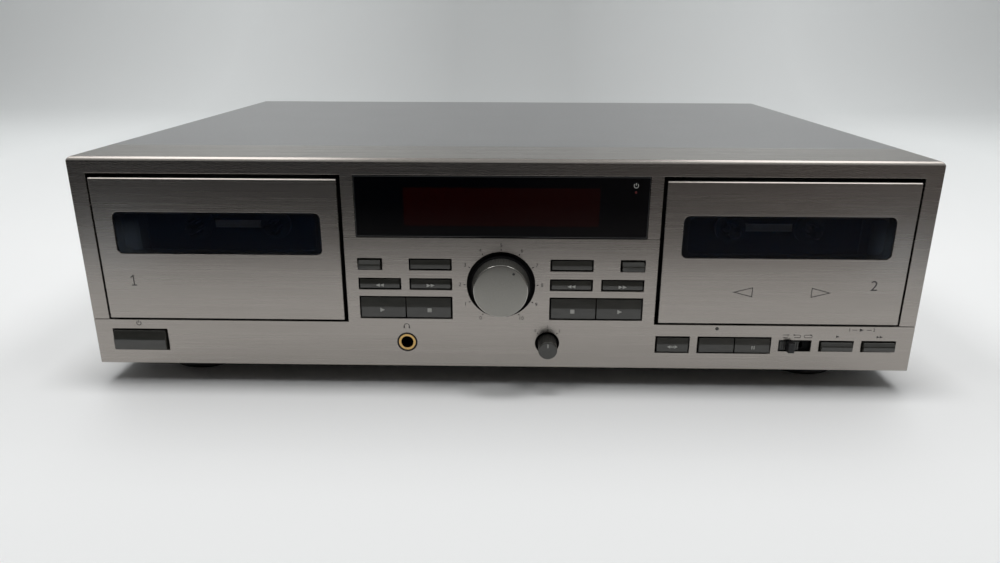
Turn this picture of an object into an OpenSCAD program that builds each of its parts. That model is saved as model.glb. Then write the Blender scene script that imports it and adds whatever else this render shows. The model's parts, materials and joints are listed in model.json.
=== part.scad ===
// Double cassette deck: a full-width audio separate with two hinged tape doors, a display,
// two blocks of transport keys, a level knob and a control strip.
// The front faces -Y, +X points to the right of the front and +Z points up.

/* [Case] */
// Width of the case and of its fascia
case_w = 435; // [400:1:470]
// Height of the case without its feet
case_h = 112; // [102:1:122]
// Depth from the face of the fascia to the back of the cover
case_d = 312; // [285:1:345]
// Thickness of the folded sheet steel
sheet_t = 1; // [0.8:0.1:1.2]
// Outer radius of the rounded top edges
edge_r = 2.5; // [2.2:0.1:3.5]
// Slack between sheet parts that slide over one another
sheet_gap = 0.15; // [0.1:0.05:0.3]
// Height of the chassis side flanges that the cover screws to
flange_h = 16; // [14:1:24]
// Height of the lip that the cover folds down over the rear panel
rear_lip = 12; // [11:1:18]
// Distance of the rear lip's ends from the sides of the chassis
lip_side = 6; // [4:0.5:10]
// Number of air slots in the chassis floor
vent_slots = 9; // [5:1:12]
// Width of an air slot
vent_w = 3; // [2:0.5:4]
// Length of an air slot
vent_l = 34; // [20:1:50]
// Distance between air slots
vent_pitch = 6; // [5.5:0.5:8]
// Distance of the first air slot in front of the transformer's middle
vent_front = 70; // [50:1:75]

/* [Screws] */
// Radius of a screw's shank
screw_r = 1.5; // [1.3:0.1:1.8]
// Slack of a screw in its hole
screw_gap = 0.2; // [0.1:0.05:0.4]
// Length of a screw's shank
screw_l = 5; // [4:0.5:8]
// Radius of a screw's head
head_r = 3.2; // [2.8:0.1:3.6]
// Height of a screw's head
head_t = 1.9; // [1.6:0.1:2.4]
// Rounding of a screw's head
head_round = 0.9; // [0.6:0.1:1.2]
// Distance of the side screws below the top of the chassis flange
side_screw_drop = 6; // [5:0.5:8]
// Distance of the front side screws behind the edge of the cover
side_screw_front = 48; // [30:1:70]
// Distance of the rear side screws from the back of the case
side_screw_rear = 60; // [40:1:80]
// Height of the rear screws above the edge of the cover's lip
lip_screw_rise = 4.5; // [4:0.1:6]
// Distance of the outer rear screws from the sides of the case
lip_screw_side = 60.9; // [30:0.1:90]

/* [Feet] */
// Diameter of a foot
foot_d = 42; // [34:1:48]
// Height of a foot
foot_h = 11; // [9:1:16]
// Distance of a foot's centre from the side of the case
foot_side = 45; // [35:0.5:65]
// Distance of the front feet's centres behind the fascia
foot_front = 37.5; // [36:0.5:60]
// Distance of the rear feet's centres from the back of the case
foot_rear = 44; // [36:1:70]
// Thickness of the web that a foot's screw holds
foot_web = 2.5; // [2:0.1:3.4]
// Radius of a foot's lower edge
foot_round = 2; // [1:0.1:3]
// Room round the screw's head in a foot
foot_well = 1.8; // [1:0.1:3]

/* [Fascia] */
// Thickness of the fascia skins
fascia_t = 2; // [1.6:0.1:2.4]
// Depth of the moulded fascia along its top and sides
fascia_d = 42; // [36:1:50]
// Depth of the fascia's lower lip
fascia_lip = 12; // [10:0.5:14]
// Thickness of the black carrier frame behind the skins
frame_t = 3; // [2.6:0.1:3.4]
// Depth of the carrier frame's foot on the chassis
frame_foot_d = 14; // [10:0.5:18]
// Thickness of the carrier frame's foot
frame_foot_t = 1.5; // [1.2:0.1:2]
// How far the carrier frame stays back from the door openings
frame_edge = 0.4; // [0.2:0.1:0.6]
// Width of the visible seam between fascia pieces
seam = 0.2; // [0.1:0.05:0.4]
// Width of the fascia strip outside each door
side_strip = 8.5; // [8:0.1:12]
// Height of the fascia strip above the doors
top_strip = 8.3; // [7.5:0.1:10]
// Height of the control strip below the doors
strip_h = 25.4; // [24.8:0.1:27]
// Height of the middle line of the controls on the strip
strip_z = 13.85; // [13.4:0.05:14.2]
// Height of the seam between the key panel and the display
panel_top = 71.7; // [70:0.1:74]

/* [Doors] */
// Width of a door opening
door_open_w = 128.2; // [127:0.1:130]
// Gap at each side of a door
door_side_gap = 1.8; // [1.4:0.1:2.4]
// Gap above a door
door_top_gap = 2; // [1.6:0.1:2.6]
// Gap below a door
door_bottom_gap = 1.3; // [1.2:0.1:1.8]
// How far a door stands proud of the fascia
door_proud = 1.4; // [1:0.1:1.8]
// Thickness of a door face
door_t = 2.5; // [2.2:0.1:2.8]
// Bevel along the top front edge of a door
door_bevel = 0.6; // [0.3:0.1:0.9]
// Bevel along the lower back edge of a door, which swings past the strip
door_relief = 1; // [0.8:0.1:1.4]
// Width of a door window
window_w = 106.3; // [100:0.1:107]
// Height of a door window
window_h = 22.2; // [18:0.1:26]
// Height of a window's lower edge above the bottom of its door opening
window_rise = 36.7; // [32:0.1:40]
// Corner radius of a window
window_r = 3.3; // [2:0.1:5]
// Depth of the window pane below the door face
window_sink = 0.8; // [0.5:0.1:1.2]
// Gap round a pane
pane_gap = 0.1; // [0.05:0.05:0.2]
// Radius of the hinge pins
pin_r = 1.5; // [1.2:0.05:1.6]
// Wall of a hinge ear round its pin
ear_wall = 0.9; // [0.8:0.1:1]
// Distance of a hinge arm from the middle of its door
hinge_x = 26; // [22:0.5:30]
// Depth of the hinge pins below the door opening
hinge_drop = 3.4; // [3.2:0.1:3.6]
// Gap between a hinge ear and the back of the skin
hinge_gap = 0.4; // [0.3:0.1:0.6]
// Thickness of a hinge arm
arm_t = 3; // [2.4:0.1:4]
// Height of a hinge arm's root on the holder
arm_root = 8; // [6:0.1:8.4]
// Thickness of a lug on the carrier frame
lug_t = 3; // [2:0.1:4]
// Gap between an arm and its lugs
lug_gap = 0.3; // [0.2:0.05:0.5]

/* [Cassette holders] */
// Width of the cassette pocket
pocket_w = 102.5; // [101.5:0.1:104]
// Depth of the cassette pocket
pocket_d = 13; // [12.5:0.1:14]
// Thickness of the holder's front wall
wall_t = 2; // [1.6:0.1:2.4]
// Space between the front wall and the cassette
pocket_in = 4.9; // [4:0.1:5.5]
// Height of the cassette's resting edge above the bottom of the door opening
tape_rise = 10.6; // [10:0.1:11.5]
// Thickness of the holder's cheeks
cheek_t = 2.7; // [2:0.1:3]
// Reach of the rear lips that keep a cassette in
lip_reach = 4.5; // [3:0.1:6]
// Thickness of the rear lips
lip_t = 1.5; // [1.2:0.1:2]
// Distance of the rear lips below the top of the cheeks
lip_drop = 6; // [3:0.5:12]
// Thickness of the ledges under a cassette
ledge_h = 2.5; // [2:0.1:3]
// Distance of the ledges from the middle of the holder
ledge_x = 38; // [36:0.5:44]
// Distance of the holder's lower edge above the lower edge of the door
holder_low = 2.4; // [2:0.1:3]
// Distance of the holder's top below the top of the door
holder_drop = 1.7; // [1.2:0.1:3]
// Rim that the holder leaves behind a pane above and below
pane_rim = 1.6; // [1:0.1:2.4]
// Rim that the holder leaves behind a pane at its ends
pane_rim_side = 3.6; // [2:0.1:5]

/* [Tape mechanism] */
// Running clearance of pins and shafts in their bores
run_gap = 0.06; // [0.04:0.01:0.09]
// Distance of the mechanism plate behind the fascia
plate_y = 30; // [29:0.5:34]
// Thickness of the mechanism plate
plate_t = 1.5; // [1.2:0.1:2]
// How far a plate reaches past its door opening
plate_over = 5.2; // [5:0.1:5.6]
// Height of a plate's lower edge above the bottom of the door opening
plate_rise = 2; // [1.6:0.1:3]
// Radius of the posts that carry a plate
post_r = 2.2; // [1.8:0.1:2.4]
// Distance between the reel spindles
reel_pitch = 42.5; // [42:0.1:43]
// Height of the spindles above the resting edge of the cassette
reel_rise = 34.8; // [34:0.1:36]
// Radius of a reel table
reel_r = 8; // [7:0.1:8.2]
// Thickness of a reel table with its gap to the plate
reel_t = 4; // [3:0.1:5]
// Radius of a spindle
spindle_r = 3.2; // [2.8:0.1:3.6]
// Radius over a spindle's splines
spline_r = 4.4; // [4:0.1:4.8]
// Thickness of a spline
spline_t = 1.2; // [0.8:0.1:1.6]
// Distance of a spindle's nose behind the front of the pocket
spindle_in = 5.6; // [5:0.1:7]
// Radius of the stub that a reel table turns on
stub_r = 2; // [1.6:0.1:2.4]
// Distance of a capstan from the middle of its deck
capstan_x = 22; // [21.6:0.1:23]
// Height of the capstans above the resting edge of the cassette
capstan_rise = 8.5; // [8:0.1:9]
// Radius of a capstan
capstan_r = 1.25; // [1:0.05:1.5]
// Distance of a capstan's tip behind the front of the pocket
capstan_in = 3; // [2:0.1:4]
// Wall of the bush round a capstan
bush_wall = 2.8; // [2:0.1:3.4]
// Length of the bush behind the plate
bush_l = 4; // [3.5:0.1:6]
// Gap between a bush and its flywheel
wheel_gap = 0.5; // [0.3:0.1:1]
// Radius of a flywheel
flywheel_r = 20; // [18:0.1:20.6]
// Thickness of a flywheel
flywheel_t = 6; // [5:0.1:8]
// Width of a flywheel's rim
rim_w = 4; // [3:0.1:6]
// Radius of a flywheel's hub
hub_r = 5; // [4:0.1:7]
// Thickness of a flywheel's web
web_t = 2; // [1.5:0.1:2.5]
// Depth of the dish in front of the web
dish = 1.5; // [1:0.1:2]
// Thickness of the motor bracket
bracket_t = 1.2; // [1:0.1:2]
// Gap between the flywheels and the motor bracket
bracket_gap = 2; // [1.5:0.1:4]
// Distance of the bracket's posts from the middle of their deck
bracket_x = 48; // [46:0.5:54]
// Radius of the bracket's posts
bracket_post_r = 2.4; // [2:0.1:3]
// Edge of the bracket round its posts
bracket_edge = 4; // [3:0.1:5]
// Distance of the motor left of the middle of its deck
motor_off = 20; // [18:0.5:23]
// Depth of the motor's axis below the top of the door opening
motor_drop = 19.7; // [18.5:0.1:22]
// Radius of a motor can
motor_r = 17; // [15:0.5:18]
// Length of a motor can
motor_l = 26; // [20:0.5:34]
// Radius of the bearing boss on the back of a motor
boss_r = 5; // [4:0.1:7]
// Height of the bearing boss on the back of a motor
boss_l = 2; // [1:0.1:3]
// Radius of a motor shaft
shaft_r = 1; // [0.8:0.05:1.2]
// Length of the shaft inside the motor
shaft_in = 6; // [4:0.1:10]
// Radius of a motor pulley
pulley_r = 3.2; // [2.6:0.1:4]
// Thickness of a drive belt
belt_t = 1.2; // [1:0.1:1.4]
// Width of a drive belt
belt_w = 4; // [3:0.1:4.6]
// Room between a belt and the wheels it runs on
belt_gap = 0.3; // [0.2:0.05:0.4]
// Lift of the heads when a tape plays
head_lift = 5; // [4:0.1:5.4]
// Width of the head carriage
carriage_w = 66; // [62:0.5:70]
// Depth of the carriage's shelf below the capstans
carriage_drop = 23; // [22:0.1:24]
// Thickness of the carriage's slide plate
slide_t = 2; // [1.5:0.1:2.5]
// Thickness of the carriage's shelf
shelf_t = 2.5; // [2:0.1:3]
// Width of a tape head
head_w = 14; // [12:0.1:16]
// Length of a tape head
head_l = 9; // [7:0.1:11]
// Radius of a tape head's crown
crown_r = 12; // [9:0.1:16]
// Distance of a head's crown below the resting edge of the cassette
head_low = 1.5; // [1.2:0.1:2]
// Distance of the head's front behind the front of the pocket
head_in = 4; // [3:0.1:5]
// Radius of a pinch roller
roller_r = 6; // [5:0.1:6.4]
// Width of a pinch roller
roller_w = 8; // [6:0.1:10]
// Radius of a pinch roller's pin
roller_pin_r = 1.2; // [1:0.1:1.6]
// Width of the pale strip behind the cassette
bar_w = 25.4; // [20:0.1:26]
// Height of the pale strip behind the cassette
bar_h = 4; // [3:0.1:6]
// Thickness of the pale strip behind the cassette
bar_t = 1.2; // [0.8:0.1:1.6]

/* [Display] */
// Distance between the display window and the door openings
display_side = 6.4; // [6:0.1:9]
// How far the display window stands proud
display_proud = 0.4; // [0.2:0.1:0.8]
// Gap round the display window
display_gap = 0.15; // [0.1:0.05:0.3]
// Distance of the display tube's ends from the ends of the window
tube_side = 24.4; // [20:0.1:34]
// Distance of the display tube from the upper and lower edges of the window
tube_edge = 5.4; // [5:0.1:7]
// Thickness of the display tube
tube_t = 5; // [4:0.1:6]
// Edge of the carrier frame behind the display window
tube_frame = 4; // [3:0.1:4.8]

/* [Keys] */
// Visible gap between a key and its opening
key_gap = 0.8; // [0.6:0.05:1]
// Sliding clearance between a key and the carrier frame
guide_gap = 0.3; // [0.25:0.05:0.4]
// Overhang of the retaining flange at the back of a key
key_flange = 0.6; // [0.5:0.05:0.7]
// Thickness of the retaining flange
flange_t = 1.2; // [1:0.1:1.6]
// Least length of the stem behind a key
stem_l = 1; // [0.8:0.1:3]
// Width of the stem behind a key
stem_w = 4; // [3:0.1:4.5]
// Bevel along the lower front edge of a key
key_bevel = 0.3; // [0.2:0.1:0.5]
// Distance of the key blocks' inner edge from the middle
keys_in = 25.5; // [25:0.1:27]
// Distance of the key blocks' outer edge from the door openings
keys_out = 6.5; // [6:0.1:9]
// Space between the two keys of a row
row_gap = 4.4; // [4:0.1:6]
// Height of the opening of a winding or reset key
key_h = 6.3; // [5.6:0.1:6.8]
// Width of the opening of an eject key
eject_w = 12.7; // [11:0.1:14]
// Height of the opening of the play and stop keys
play_h = 12.4; // [11.6:0.1:12.8]
// Split between two keys that share an opening
key_split = 0.6; // [0.5:0.05:0.8]
// Height of the middle of the eject row
eject_z = 57.3; // [57:0.1:58]
// Height of the middle of the winding row
wind_z = 46.6; // [46.2:0.1:47]
// Height of the middle of the play row
play_z = 33.5; // [33.2:0.1:34]
// Width of the power key's opening
power_w = 29.5; // [26:0.1:30]
// Height of the power key's opening
power_h = 12.1; // [11:0.1:12.2]
// Distance of the power key's opening from the outer edge of the door opening
power_in = 0.7; // [0.5:0.1:3]
// Space between openings on the control strip
strip_gap = 4.15; // [3.9:0.05:4.4]
// Width of the direction key's opening
direction_w = 18.1; // [17:0.1:18.4]
// Width of the opening shared by the record and pause keys
record_w = 38.9; // [38:0.1:39.2]
// Height of the openings of the direction, record and pause keys
record_h = 9.4; // [8.6:0.1:9.6]
// Width of a dubbing key's opening
dub_w = 18; // [17:0.1:18.2]
// Height of a dubbing key's opening
dub_h = 6.2; // [5.8:0.1:6.6]
// Distance of the last dubbing key from the outer edge of the door opening
dub_in = 0.1; // [0.1:0.1:1]
// How far the power key stands proud
power_proud = 2.2; // [1.5:0.1:3]
// How far the eject keys stand proud
eject_proud = 2.4; // [2:0.1:3]
// How far the reset and winding keys stand proud
wind_proud = 0.4; // [0.2:0.1:1]
// How far the play and stop keys stand proud
play_proud = 0.6; // [0.3:0.1:1.2]
// How far the direction, record and pause keys stand proud
record_proud = 1; // [0.6:0.1:1.6]
// How far the dubbing keys stand proud
dub_proud = 2; // [1.4:0.1:2.6]
// How far the top edges of the tall keys lean back
tall_lean = 1.4; // [1:0.1:1.8]
// How far the top edges of the flat keys lean back
flat_lean = 0.7; // [0.4:0.1:1]
// Travel of the switch keys
key_travel = 1.2; // [0.8:0.1:1.6]
// Travel of the power key
power_travel = 2.6; // [2:0.1:3]
// Travel of the eject keys
eject_travel = 2.8; // [2:0.1:3]

/* [Knobs, lever and headphone socket] */
// Diameter of the well round the level knob
well_d = 35.5; // [34:0.1:37]
// Diameter of the level knob's face
level_d = 27.9; // [26:0.1:29]
// Diameter of the level knob at its base
level_base_d = 31.6; // [30:0.1:33]
// How far the level knob stands proud
level_proud = 10.8; // [9:0.1:14]
// Height of the level knob's axis
level_z = 46.5; // [46:0.1:47]
// Bevel round the level knob's face
level_bevel = 0.5; // [0.3:0.1:0.8]
// Height of the plain ring at the level knob's base
level_ring = 1.6; // [1:0.1:2.4]
// Number of grip flutes round the level knob
level_flutes = 60; // [36:1:72]
// Radius of a grip flute
flute_r = 0.3; // [0.2:0.05:0.4]
// Distance of the index mark from the knob's axis
index_r = 11.4; // [8:0.1:12]
// Angle of the index mark, clockwise from the top
index_turn = 35; // [0:1:60]
// Radius of the index mark
index_mark_r = 0.8; // [0.5:0.1:1.2]
// Depth of the index mark
index_d = 0.4; // [0.2:0.1:0.8]
// Radius of the level control's shaft
level_shaft_r = 3; // [2.5:0.1:3.2]
// Diameter of the ring round the small knob
nr_ring_d = 12.7; // [12:0.1:13.4]
// Diameter of the small knob
nr_d = 9.9; // [9:0.1:10.6]
// How far the small knob stands proud
nr_proud = 10.2; // [8:0.1:10.6]
// Place of the small knob across the strip
nr_x = 24.7; // [22:0.1:30]
// Number of grip flutes round the small knob
nr_flutes = 24; // [18:1:30]
// Bevel round the small knob's face
nr_bevel = 0.6; // [0.3:0.1:0.9]
// Length of the small knob's plain end behind its flutes
nr_plain = 2; // [1:0.1:3]
// Radius of the small control's shaft
nr_shaft_r = 2; // [1.6:0.1:2.4]
// Depth of the knobs' backs behind the face of the skin
knob_back = 1.2; // [0.8:0.1:1.4]
// Depth of the level and noise controls
pot_l = 6; // [5:0.1:6.4]
// Width of the level control
level_pot_w = 18; // [14:0.1:20]
// Width of the noise control
nr_pot_w = 10.8; // [9:0.1:11.2]
// Clearance round the shafts in the carrier frame
shaft_gap = 0.5; // [0.3:0.1:0.8]
// Width of the reverse lever's window
lever_win_w = 17.1; // [16.6:0.1:17.4]
// Height of the reverse lever's window
lever_win_h = 6.5; // [6:0.1:7]
// Width of the reverse lever's nose
lever_w = 3.2; // [2.6:0.1:4]
// Width of the slide under the nose
slide_w = 10.4; // [9:0.1:10.5]
// How far the reverse lever stands proud
lever_proud = 4.2; // [3:0.1:5]
// Gap between the slide and the edges of its window
lever_gap = 0.55; // [0.4:0.05:0.8]
// Thickness of the slide under the nose
lever_slide_t = 1; // [0.8:0.1:1.2]
// Bevel round the nose
lever_bevel = 0.5; // [0.3:0.1:0.8]
// Width of the stem that works the reverse switch
lever_stem_w = 2; // [1.6:0.1:2.4]
// Travel of the reverse lever
lever_travel = 6; // [5:0.1:6.2]
// Width of the reverse switch
reverse_w = 14; // [12:0.1:15]
// Height of the reverse switch
reverse_h = 6; // [5:0.1:7]
// Place of the headphone socket across the strip
phones_x = -50; // [-54:0.5:-44]
// Radius of the headphone plug's hole
phones_r = 3.25; // [3.2:0.01:3.4]
// Wall of the metal bush round the plug's hole
phones_bush_wall = 1.25; // [1:0.05:1.4]
// Length of the metal bush
phones_bush_l = 6; // [5:0.1:8]
// Wall of the black nose round the plug's hole
phones_nose_wall = 2; // [1.8:0.1:2.4]
// Room round the plug behind the bush
phones_room = 0.75; // [0.6:0.05:1]
// Width of the headphone socket's body
phones_body_w = 12.4; // [12:0.1:14]
// Depth of the headphone socket's body behind the fascia
phones_l = 30; // [26:0.5:34]

/* [Rear] */
// Outer radius of a line socket
jack_r = 4.15; // [4:0.05:4.3]
// How far a line socket stands out of the case
jack_proud = 10; // [9:0.1:12]
// Distance between line sockets
jack_pitch = 19; // [17:0.5:22]
// Distance of the line sockets from the side of the case
jack_side = 107.5; // [90:0.5:130]
// Height of the middle of the line sockets
jack_z = 62; // [56:1:68]
// Thickness of the line sockets' plate
jack_plate_t = 2; // [1.6:0.1:3]
// Edge of the plate round the line sockets
jack_edge = 4; // [3:0.1:6]
// Step between a line socket's sleeve and its neck
jack_step = 0.4; // [0.3:0.05:0.5]
// Wall of a line socket's sleeve
jack_wall = 0.7; // [0.5:0.05:0.9]
// Radius of the hole for a plug's pin
jack_pin_r = 1.6; // [1.5:0.05:1.8]
// Wall of the barrel round a line socket's neck
barrel_wall = 1.2; // [1:0.1:1.6]
// Length of the barrels inside the case
barrel_l = 12; // [10:0.5:16]
// Floor of a barrel behind the neck
barrel_floor = 4; // [3:0.1:5]
// Radius of the mains lead's hole in its gland
gland_r = 3.6; // [3:0.1:4.2]
// Distance of the gland from the side of the case
gland_side = 52.5; // [40:0.5:70]
// Height of the gland
gland_z = 34; // [30:1:44]
// Wall of the gland's neck
gland_wall = 2.2; // [1.8:0.1:2.6]
// Edge of the gland's collars past its neck
gland_edge = 2.3; // [1.8:0.1:3]
// Height of the gland's outer collar
gland_proud = 3.2; // [2.6:0.1:4]
// Bevel of the gland's outer collar
gland_bevel = 1.2; // [0.8:0.1:1.8]
// Depth of the gland's inner collar behind the panel
gland_in = 5; // [4:0.1:7]

/* [Boards and power supply] */
// Thickness of the circuit boards
board_t = 1.6; // [1.2:0.1:2]
// Height of a switch behind a key
switch_t = 1.5; // [1.2:0.1:2]
// Width of a switch behind a key
switch_w = 6; // [5:0.1:7]
// Height of a switch's housing
switch_h = 3; // [2.4:0.1:4]
// Radius of the posts that carry the front boards
board_post_r = 1.6; // [1.3:0.1:1.8]
// Edge of a front board round its controls
board_edge = 5.6; // [5.4:0.1:6]
// Height of the posts that carry the main board
main_post_h = 6; // [4:1:10]
// Radius of the posts that carry the main board
main_post_r = 3; // [2.4:0.1:4]
// Distance of those posts from the edges of the main board
main_post_in = 8; // [5:0.5:12]
// Width of the main board
main_w = 230; // [200:1:240]
// Length of the main board
main_l = 160; // [130:1:180]
// Distance of the main board from the side of the chassis
main_side = 16; // [10:1:20]
// Distance of the main board from the rear panel
main_rear = 24; // [16:1:30]
// Radius of a smoothing capacitor
cap_r = 7; // [5:0.1:8]
// Height of a smoothing capacitor
cap_h = 25; // [18:1:32]
// Distance between smoothing capacitors
cap_pitch = 18; // [17:0.5:22]
// Distance of the capacitors from the board's edges
cap_in = 21; // [16:0.5:26]
// Length of a chip
chip_w = 22; // [16:0.5:28]
// Width of a chip
chip_l = 8; // [6:0.5:12]
// Height of a chip
chip_h = 4; // [3:0.1:5]
// Distance between chips
chip_pitch = 34; // [30:0.5:38]
// Distance of the row of chips in front of the board's middle
chip_front = 20; // [10:0.5:30]
// Thickness of the heat sink
sink_t = 4; // [3:0.1:6]
// Length of the heat sink
sink_l = 60; // [40:1:70]
// Height of the heat sink
sink_h = 30; // [20:1:40]
// Distance of the heat sink from the board's side
sink_side = 20; // [16:0.5:30]
// Distance of the heat sink from the board's front
sink_front = 12; // [8:0.5:20]
// Width of the transformer's core
core_w = 58; // [50:1:64]
// Length of the transformer's core
core_l = 50; // [42:1:56]
// Height of the transformer's core
core_h = 48; // [42:1:56]
// Width of the transformer's coil
coil_w = 40; // [34:1:44]
// Length of the transformer's coil
coil_l = 66; // [58:1:74]
// Height of the transformer's coil
coil_h = 30; // [26:1:34]
// Reach of the transformer's fixing tabs
tab_l = 9; // [7:0.5:12]
// Width of the transformer's fixing tabs
tab_w = 16; // [12:1:20]
// Thickness of the transformer's fixing tabs
tab_t = 1.5; // [1.2:0.1:2]
// Distance of the transformer's middle from the side of the case
transformer_side = 78; // [70:1:90]
// Distance of the transformer's middle from the back of the case
transformer_rear = 78; // [60:1:90]

/* [Hidden] */
$fn = 48;

// Finishes
SATIN = [0.62, 0.60, 0.57];
COVER = [0.42, 0.43, 0.41];
BLACK = [0.06, 0.06, 0.065];
KEY_GREY = [0.27, 0.28, 0.27];
KNOB_GREY = [0.5, 0.5, 0.49];
ZINC = [0.72, 0.73, 0.74];
STEEL = [0.58, 0.58, 0.6];
BRASS = [0.78, 0.63, 0.35];
GLASS = [0.03, 0.04, 0.07];
BOARD = [0.36, 0.27, 0.12];

// Overrun of a cutter past the face it opens
cut = 1;
// Rest distance of a loose piece from its seat
seat_gap = 0.3;
// Distance between separate solids that are fixed to one another
fix_gap = 0.05;

// Case
front_y = (max(level_proud, nr_proud) - case_d - jack_proud) / 2;
cover_y = fascia_d + seam;
rear_y = case_d - sheet_t;
roof_z = case_h - sheet_t;
tray_half = case_w / 2 - sheet_t - sheet_gap;
tray_y = fascia_lip + seat_gap;
screw_hole_r = screw_r + screw_gap;
side_screw_z = flange_h - side_screw_drop;
lip_screw_z = case_h - rear_lip + lip_screw_rise;
lip_screw_x = case_w / 2 - lip_screw_side;
foot_x = case_w / 2 - foot_side;
SIDE_SCREWS = [for (s = [-1, 1], y = [cover_y + side_screw_front, case_d - side_screw_rear]) [s, y]];
LIP_SCREWS = [for (i = [-1 : 1]) i * lip_screw_x];
FOOT_PLACES = [for (s = [-1, 1], y = [foot_front, case_d - foot_rear]) [s * foot_x, y]];

// Fascia and its openings
door_x = case_w / 2 - side_strip - door_open_w / 2;
mid_half = door_x - door_open_w / 2;
door_outer = door_x + door_open_w / 2;
door_top = case_h - top_strip;
display_z0 = panel_top + seam;
display_half = mid_half - display_side;
frame_back = fascia_t + frame_t;

// Keys, from their openings in the skin
keys_w = mid_half - keys_out - keys_in;
key_w = (keys_w - row_gap) / 2;
keys_mid = keys_in + keys_w / 2;
near_x = keys_in + key_w / 2;
far_x = keys_in + keys_w - key_w / 2;
eject_x = keys_in + keys_w - eject_w / 2;
power_x = power_in + power_w / 2 - door_outer;
high_x = door_outer - dub_in - dub_w / 2;
normal_x = high_x - dub_w - strip_gap;
lever_win_x = normal_x - dub_w / 2 - strip_gap - lever_win_w / 2;
record_x = lever_win_x - lever_win_w / 2 - strip_gap - record_w / 2;
direction_x = record_x - record_w / 2 - strip_gap - direction_w / 2;

// Openings for keys: middle x, middle z, width, height
KEY_OPENINGS = concat(
    [
        [power_x, strip_z, power_w, power_h],
        [direction_x, strip_z, direction_w, record_h],
        [record_x, strip_z, record_w, record_h],
        [normal_x, strip_z, dub_w, dub_h],
        [high_x, strip_z, dub_w, dub_h]
    ],
    [for (s = [-1, 1]) each [
        [s * eject_x, eject_z, eject_w, key_h],
        [s * near_x, eject_z, key_w, key_h],
        [s * near_x, wind_z, key_w, key_h],
        [s * far_x, wind_z, key_w, key_h],
        [s * keys_mid, play_z, keys_w, play_h]
    ]]
);

// Keys: name, opening's middle x and z, opening's width and height, share of the opening
// (-1 left half, 0 whole, 1 right half), proud, lean of the upper half, travel
KEYS = [
    ["power_key", power_x, strip_z, power_w, power_h, 0, power_proud, tall_lean, power_travel],
    ["a_eject_key", -eject_x, eject_z, eject_w, key_h, 0, eject_proud, tall_lean, eject_travel],
    ["a_reset_key", -near_x, eject_z, key_w, key_h, 0, wind_proud, flat_lean, key_travel],
    ["a_rewind_key", -far_x, wind_z, key_w, key_h, 0, wind_proud, flat_lean, key_travel],
    ["a_forward_key", -near_x, wind_z, key_w, key_h, 0, wind_proud, flat_lean, key_travel],
    ["a_play_key", -keys_mid, play_z, keys_w, play_h, -1, play_proud, flat_lean, key_travel],
    ["a_stop_key", -keys_mid, play_z, keys_w, play_h, 1, play_proud, flat_lean, key_travel],
    ["b_eject_key", eject_x, eject_z, eject_w, key_h, 0, eject_proud, tall_lean, eject_travel],
    ["b_reset_key", near_x, eject_z, key_w, key_h, 0, wind_proud, flat_lean, key_travel],
    ["b_rewind_key", near_x, wind_z, key_w, key_h, 0, wind_proud, flat_lean, key_travel],
    ["b_forward_key", far_x, wind_z, key_w, key_h, 0, wind_proud, flat_lean, key_travel],
    ["b_play_key", keys_mid, play_z, keys_w, play_h, 1, play_proud, flat_lean, key_travel],
    ["b_stop_key", keys_mid, play_z, keys_w, play_h, -1, play_proud, flat_lean, key_travel],
    ["direction_key", direction_x, strip_z, direction_w, record_h, 0, record_proud, flat_lean, key_travel],
    ["record_key", record_x, strip_z, record_w, record_h, -1, record_proud, flat_lean, key_travel],
    ["pause_key", record_x, strip_z, record_w, record_h, 1, record_proud, flat_lean, key_travel],
    ["normal_dub_key", normal_x, strip_z, dub_w, dub_h, 0, dub_proud, tall_lean, key_travel],
    ["high_dub_key", high_x, strip_z, dub_w, dub_h, 0, dub_proud, tall_lean, key_travel]
];
function key_row(name) = KEYS[search([name], KEYS)[0]];
function key_cap_w(k) =
    k[5] == 0 ? k[3] - 2 * key_gap : (k[3] - 2 * key_gap - key_split) / 2;
function key_mid_x(k) = k[1] + k[5] * (key_cap_w(k) + key_split) / 2;

// Boards and switches behind the keys
flange_y = frame_back + seat_gap;
switch_y = flange_y + flange_t + max(power_travel, eject_travel, key_travel) + seat_gap + stem_l;
board_y = switch_y + switch_t;
board_back = board_y + board_t;
board_low = fascia_t + frame_foot_t + seat_gap;
BOARD_POSTS = concat(
    [for (x = [direction_x, lever_win_x, high_x, nr_x, power_x - power_w / 4, power_x + power_w / 4])
        [x, board_low + board_post_r / 2]],
    [for (s = [-1, 1], z = [play_z, eject_z]) [s * (keys_in - 2.5 * board_post_r), z]]
);

// Doors, hinges and holders
door_w = door_open_w - 2 * door_side_gap;
door_z0 = strip_h + door_bottom_gap;
door_z1 = door_top - door_top_gap;
door_back = door_t - door_proud;
window_mid_z = strip_h + window_rise + window_h / 2;
ear_r = pin_r + ear_wall;
hinge_y = fascia_t + hinge_gap + ear_r;
hinge_z = strip_h - hinge_drop;
lug_back = hinge_y + ear_r + seat_gap;
pocket_y = door_back + wall_t + pocket_in;
pocket_back = pocket_y + pocket_d;
pocket_top = door_z1 - holder_drop;
tape_z = strip_h + tape_rise;

// Tape mechanism
plate_back = plate_y + plate_t;
plate_half = door_open_w / 2 + plate_over;
plate_z0 = strip_h + plate_rise;
plate_z1 = door_top;
post_x = plate_half - post_r;
post_z0 = plate_z0 + 2 * post_r;
post_z1 = plate_z1 - 3 * post_r;
reel_z = tape_z + reel_rise;
capstan_z = tape_z + capstan_rise;
wheel_y = plate_back + bush_l + wheel_gap;
wheel_back = wheel_y + flywheel_t;
wheel_mid = wheel_y + flywheel_t / 2;
bracket_y = wheel_back + bracket_gap;
motor_y = bracket_y + bracket_t;
motor_z = door_top - motor_drop;
BRACKET_POSTS_Z = [plate_z0 + 2 * bracket_post_r, plate_z1 - 2.5 * bracket_post_r];

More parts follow.
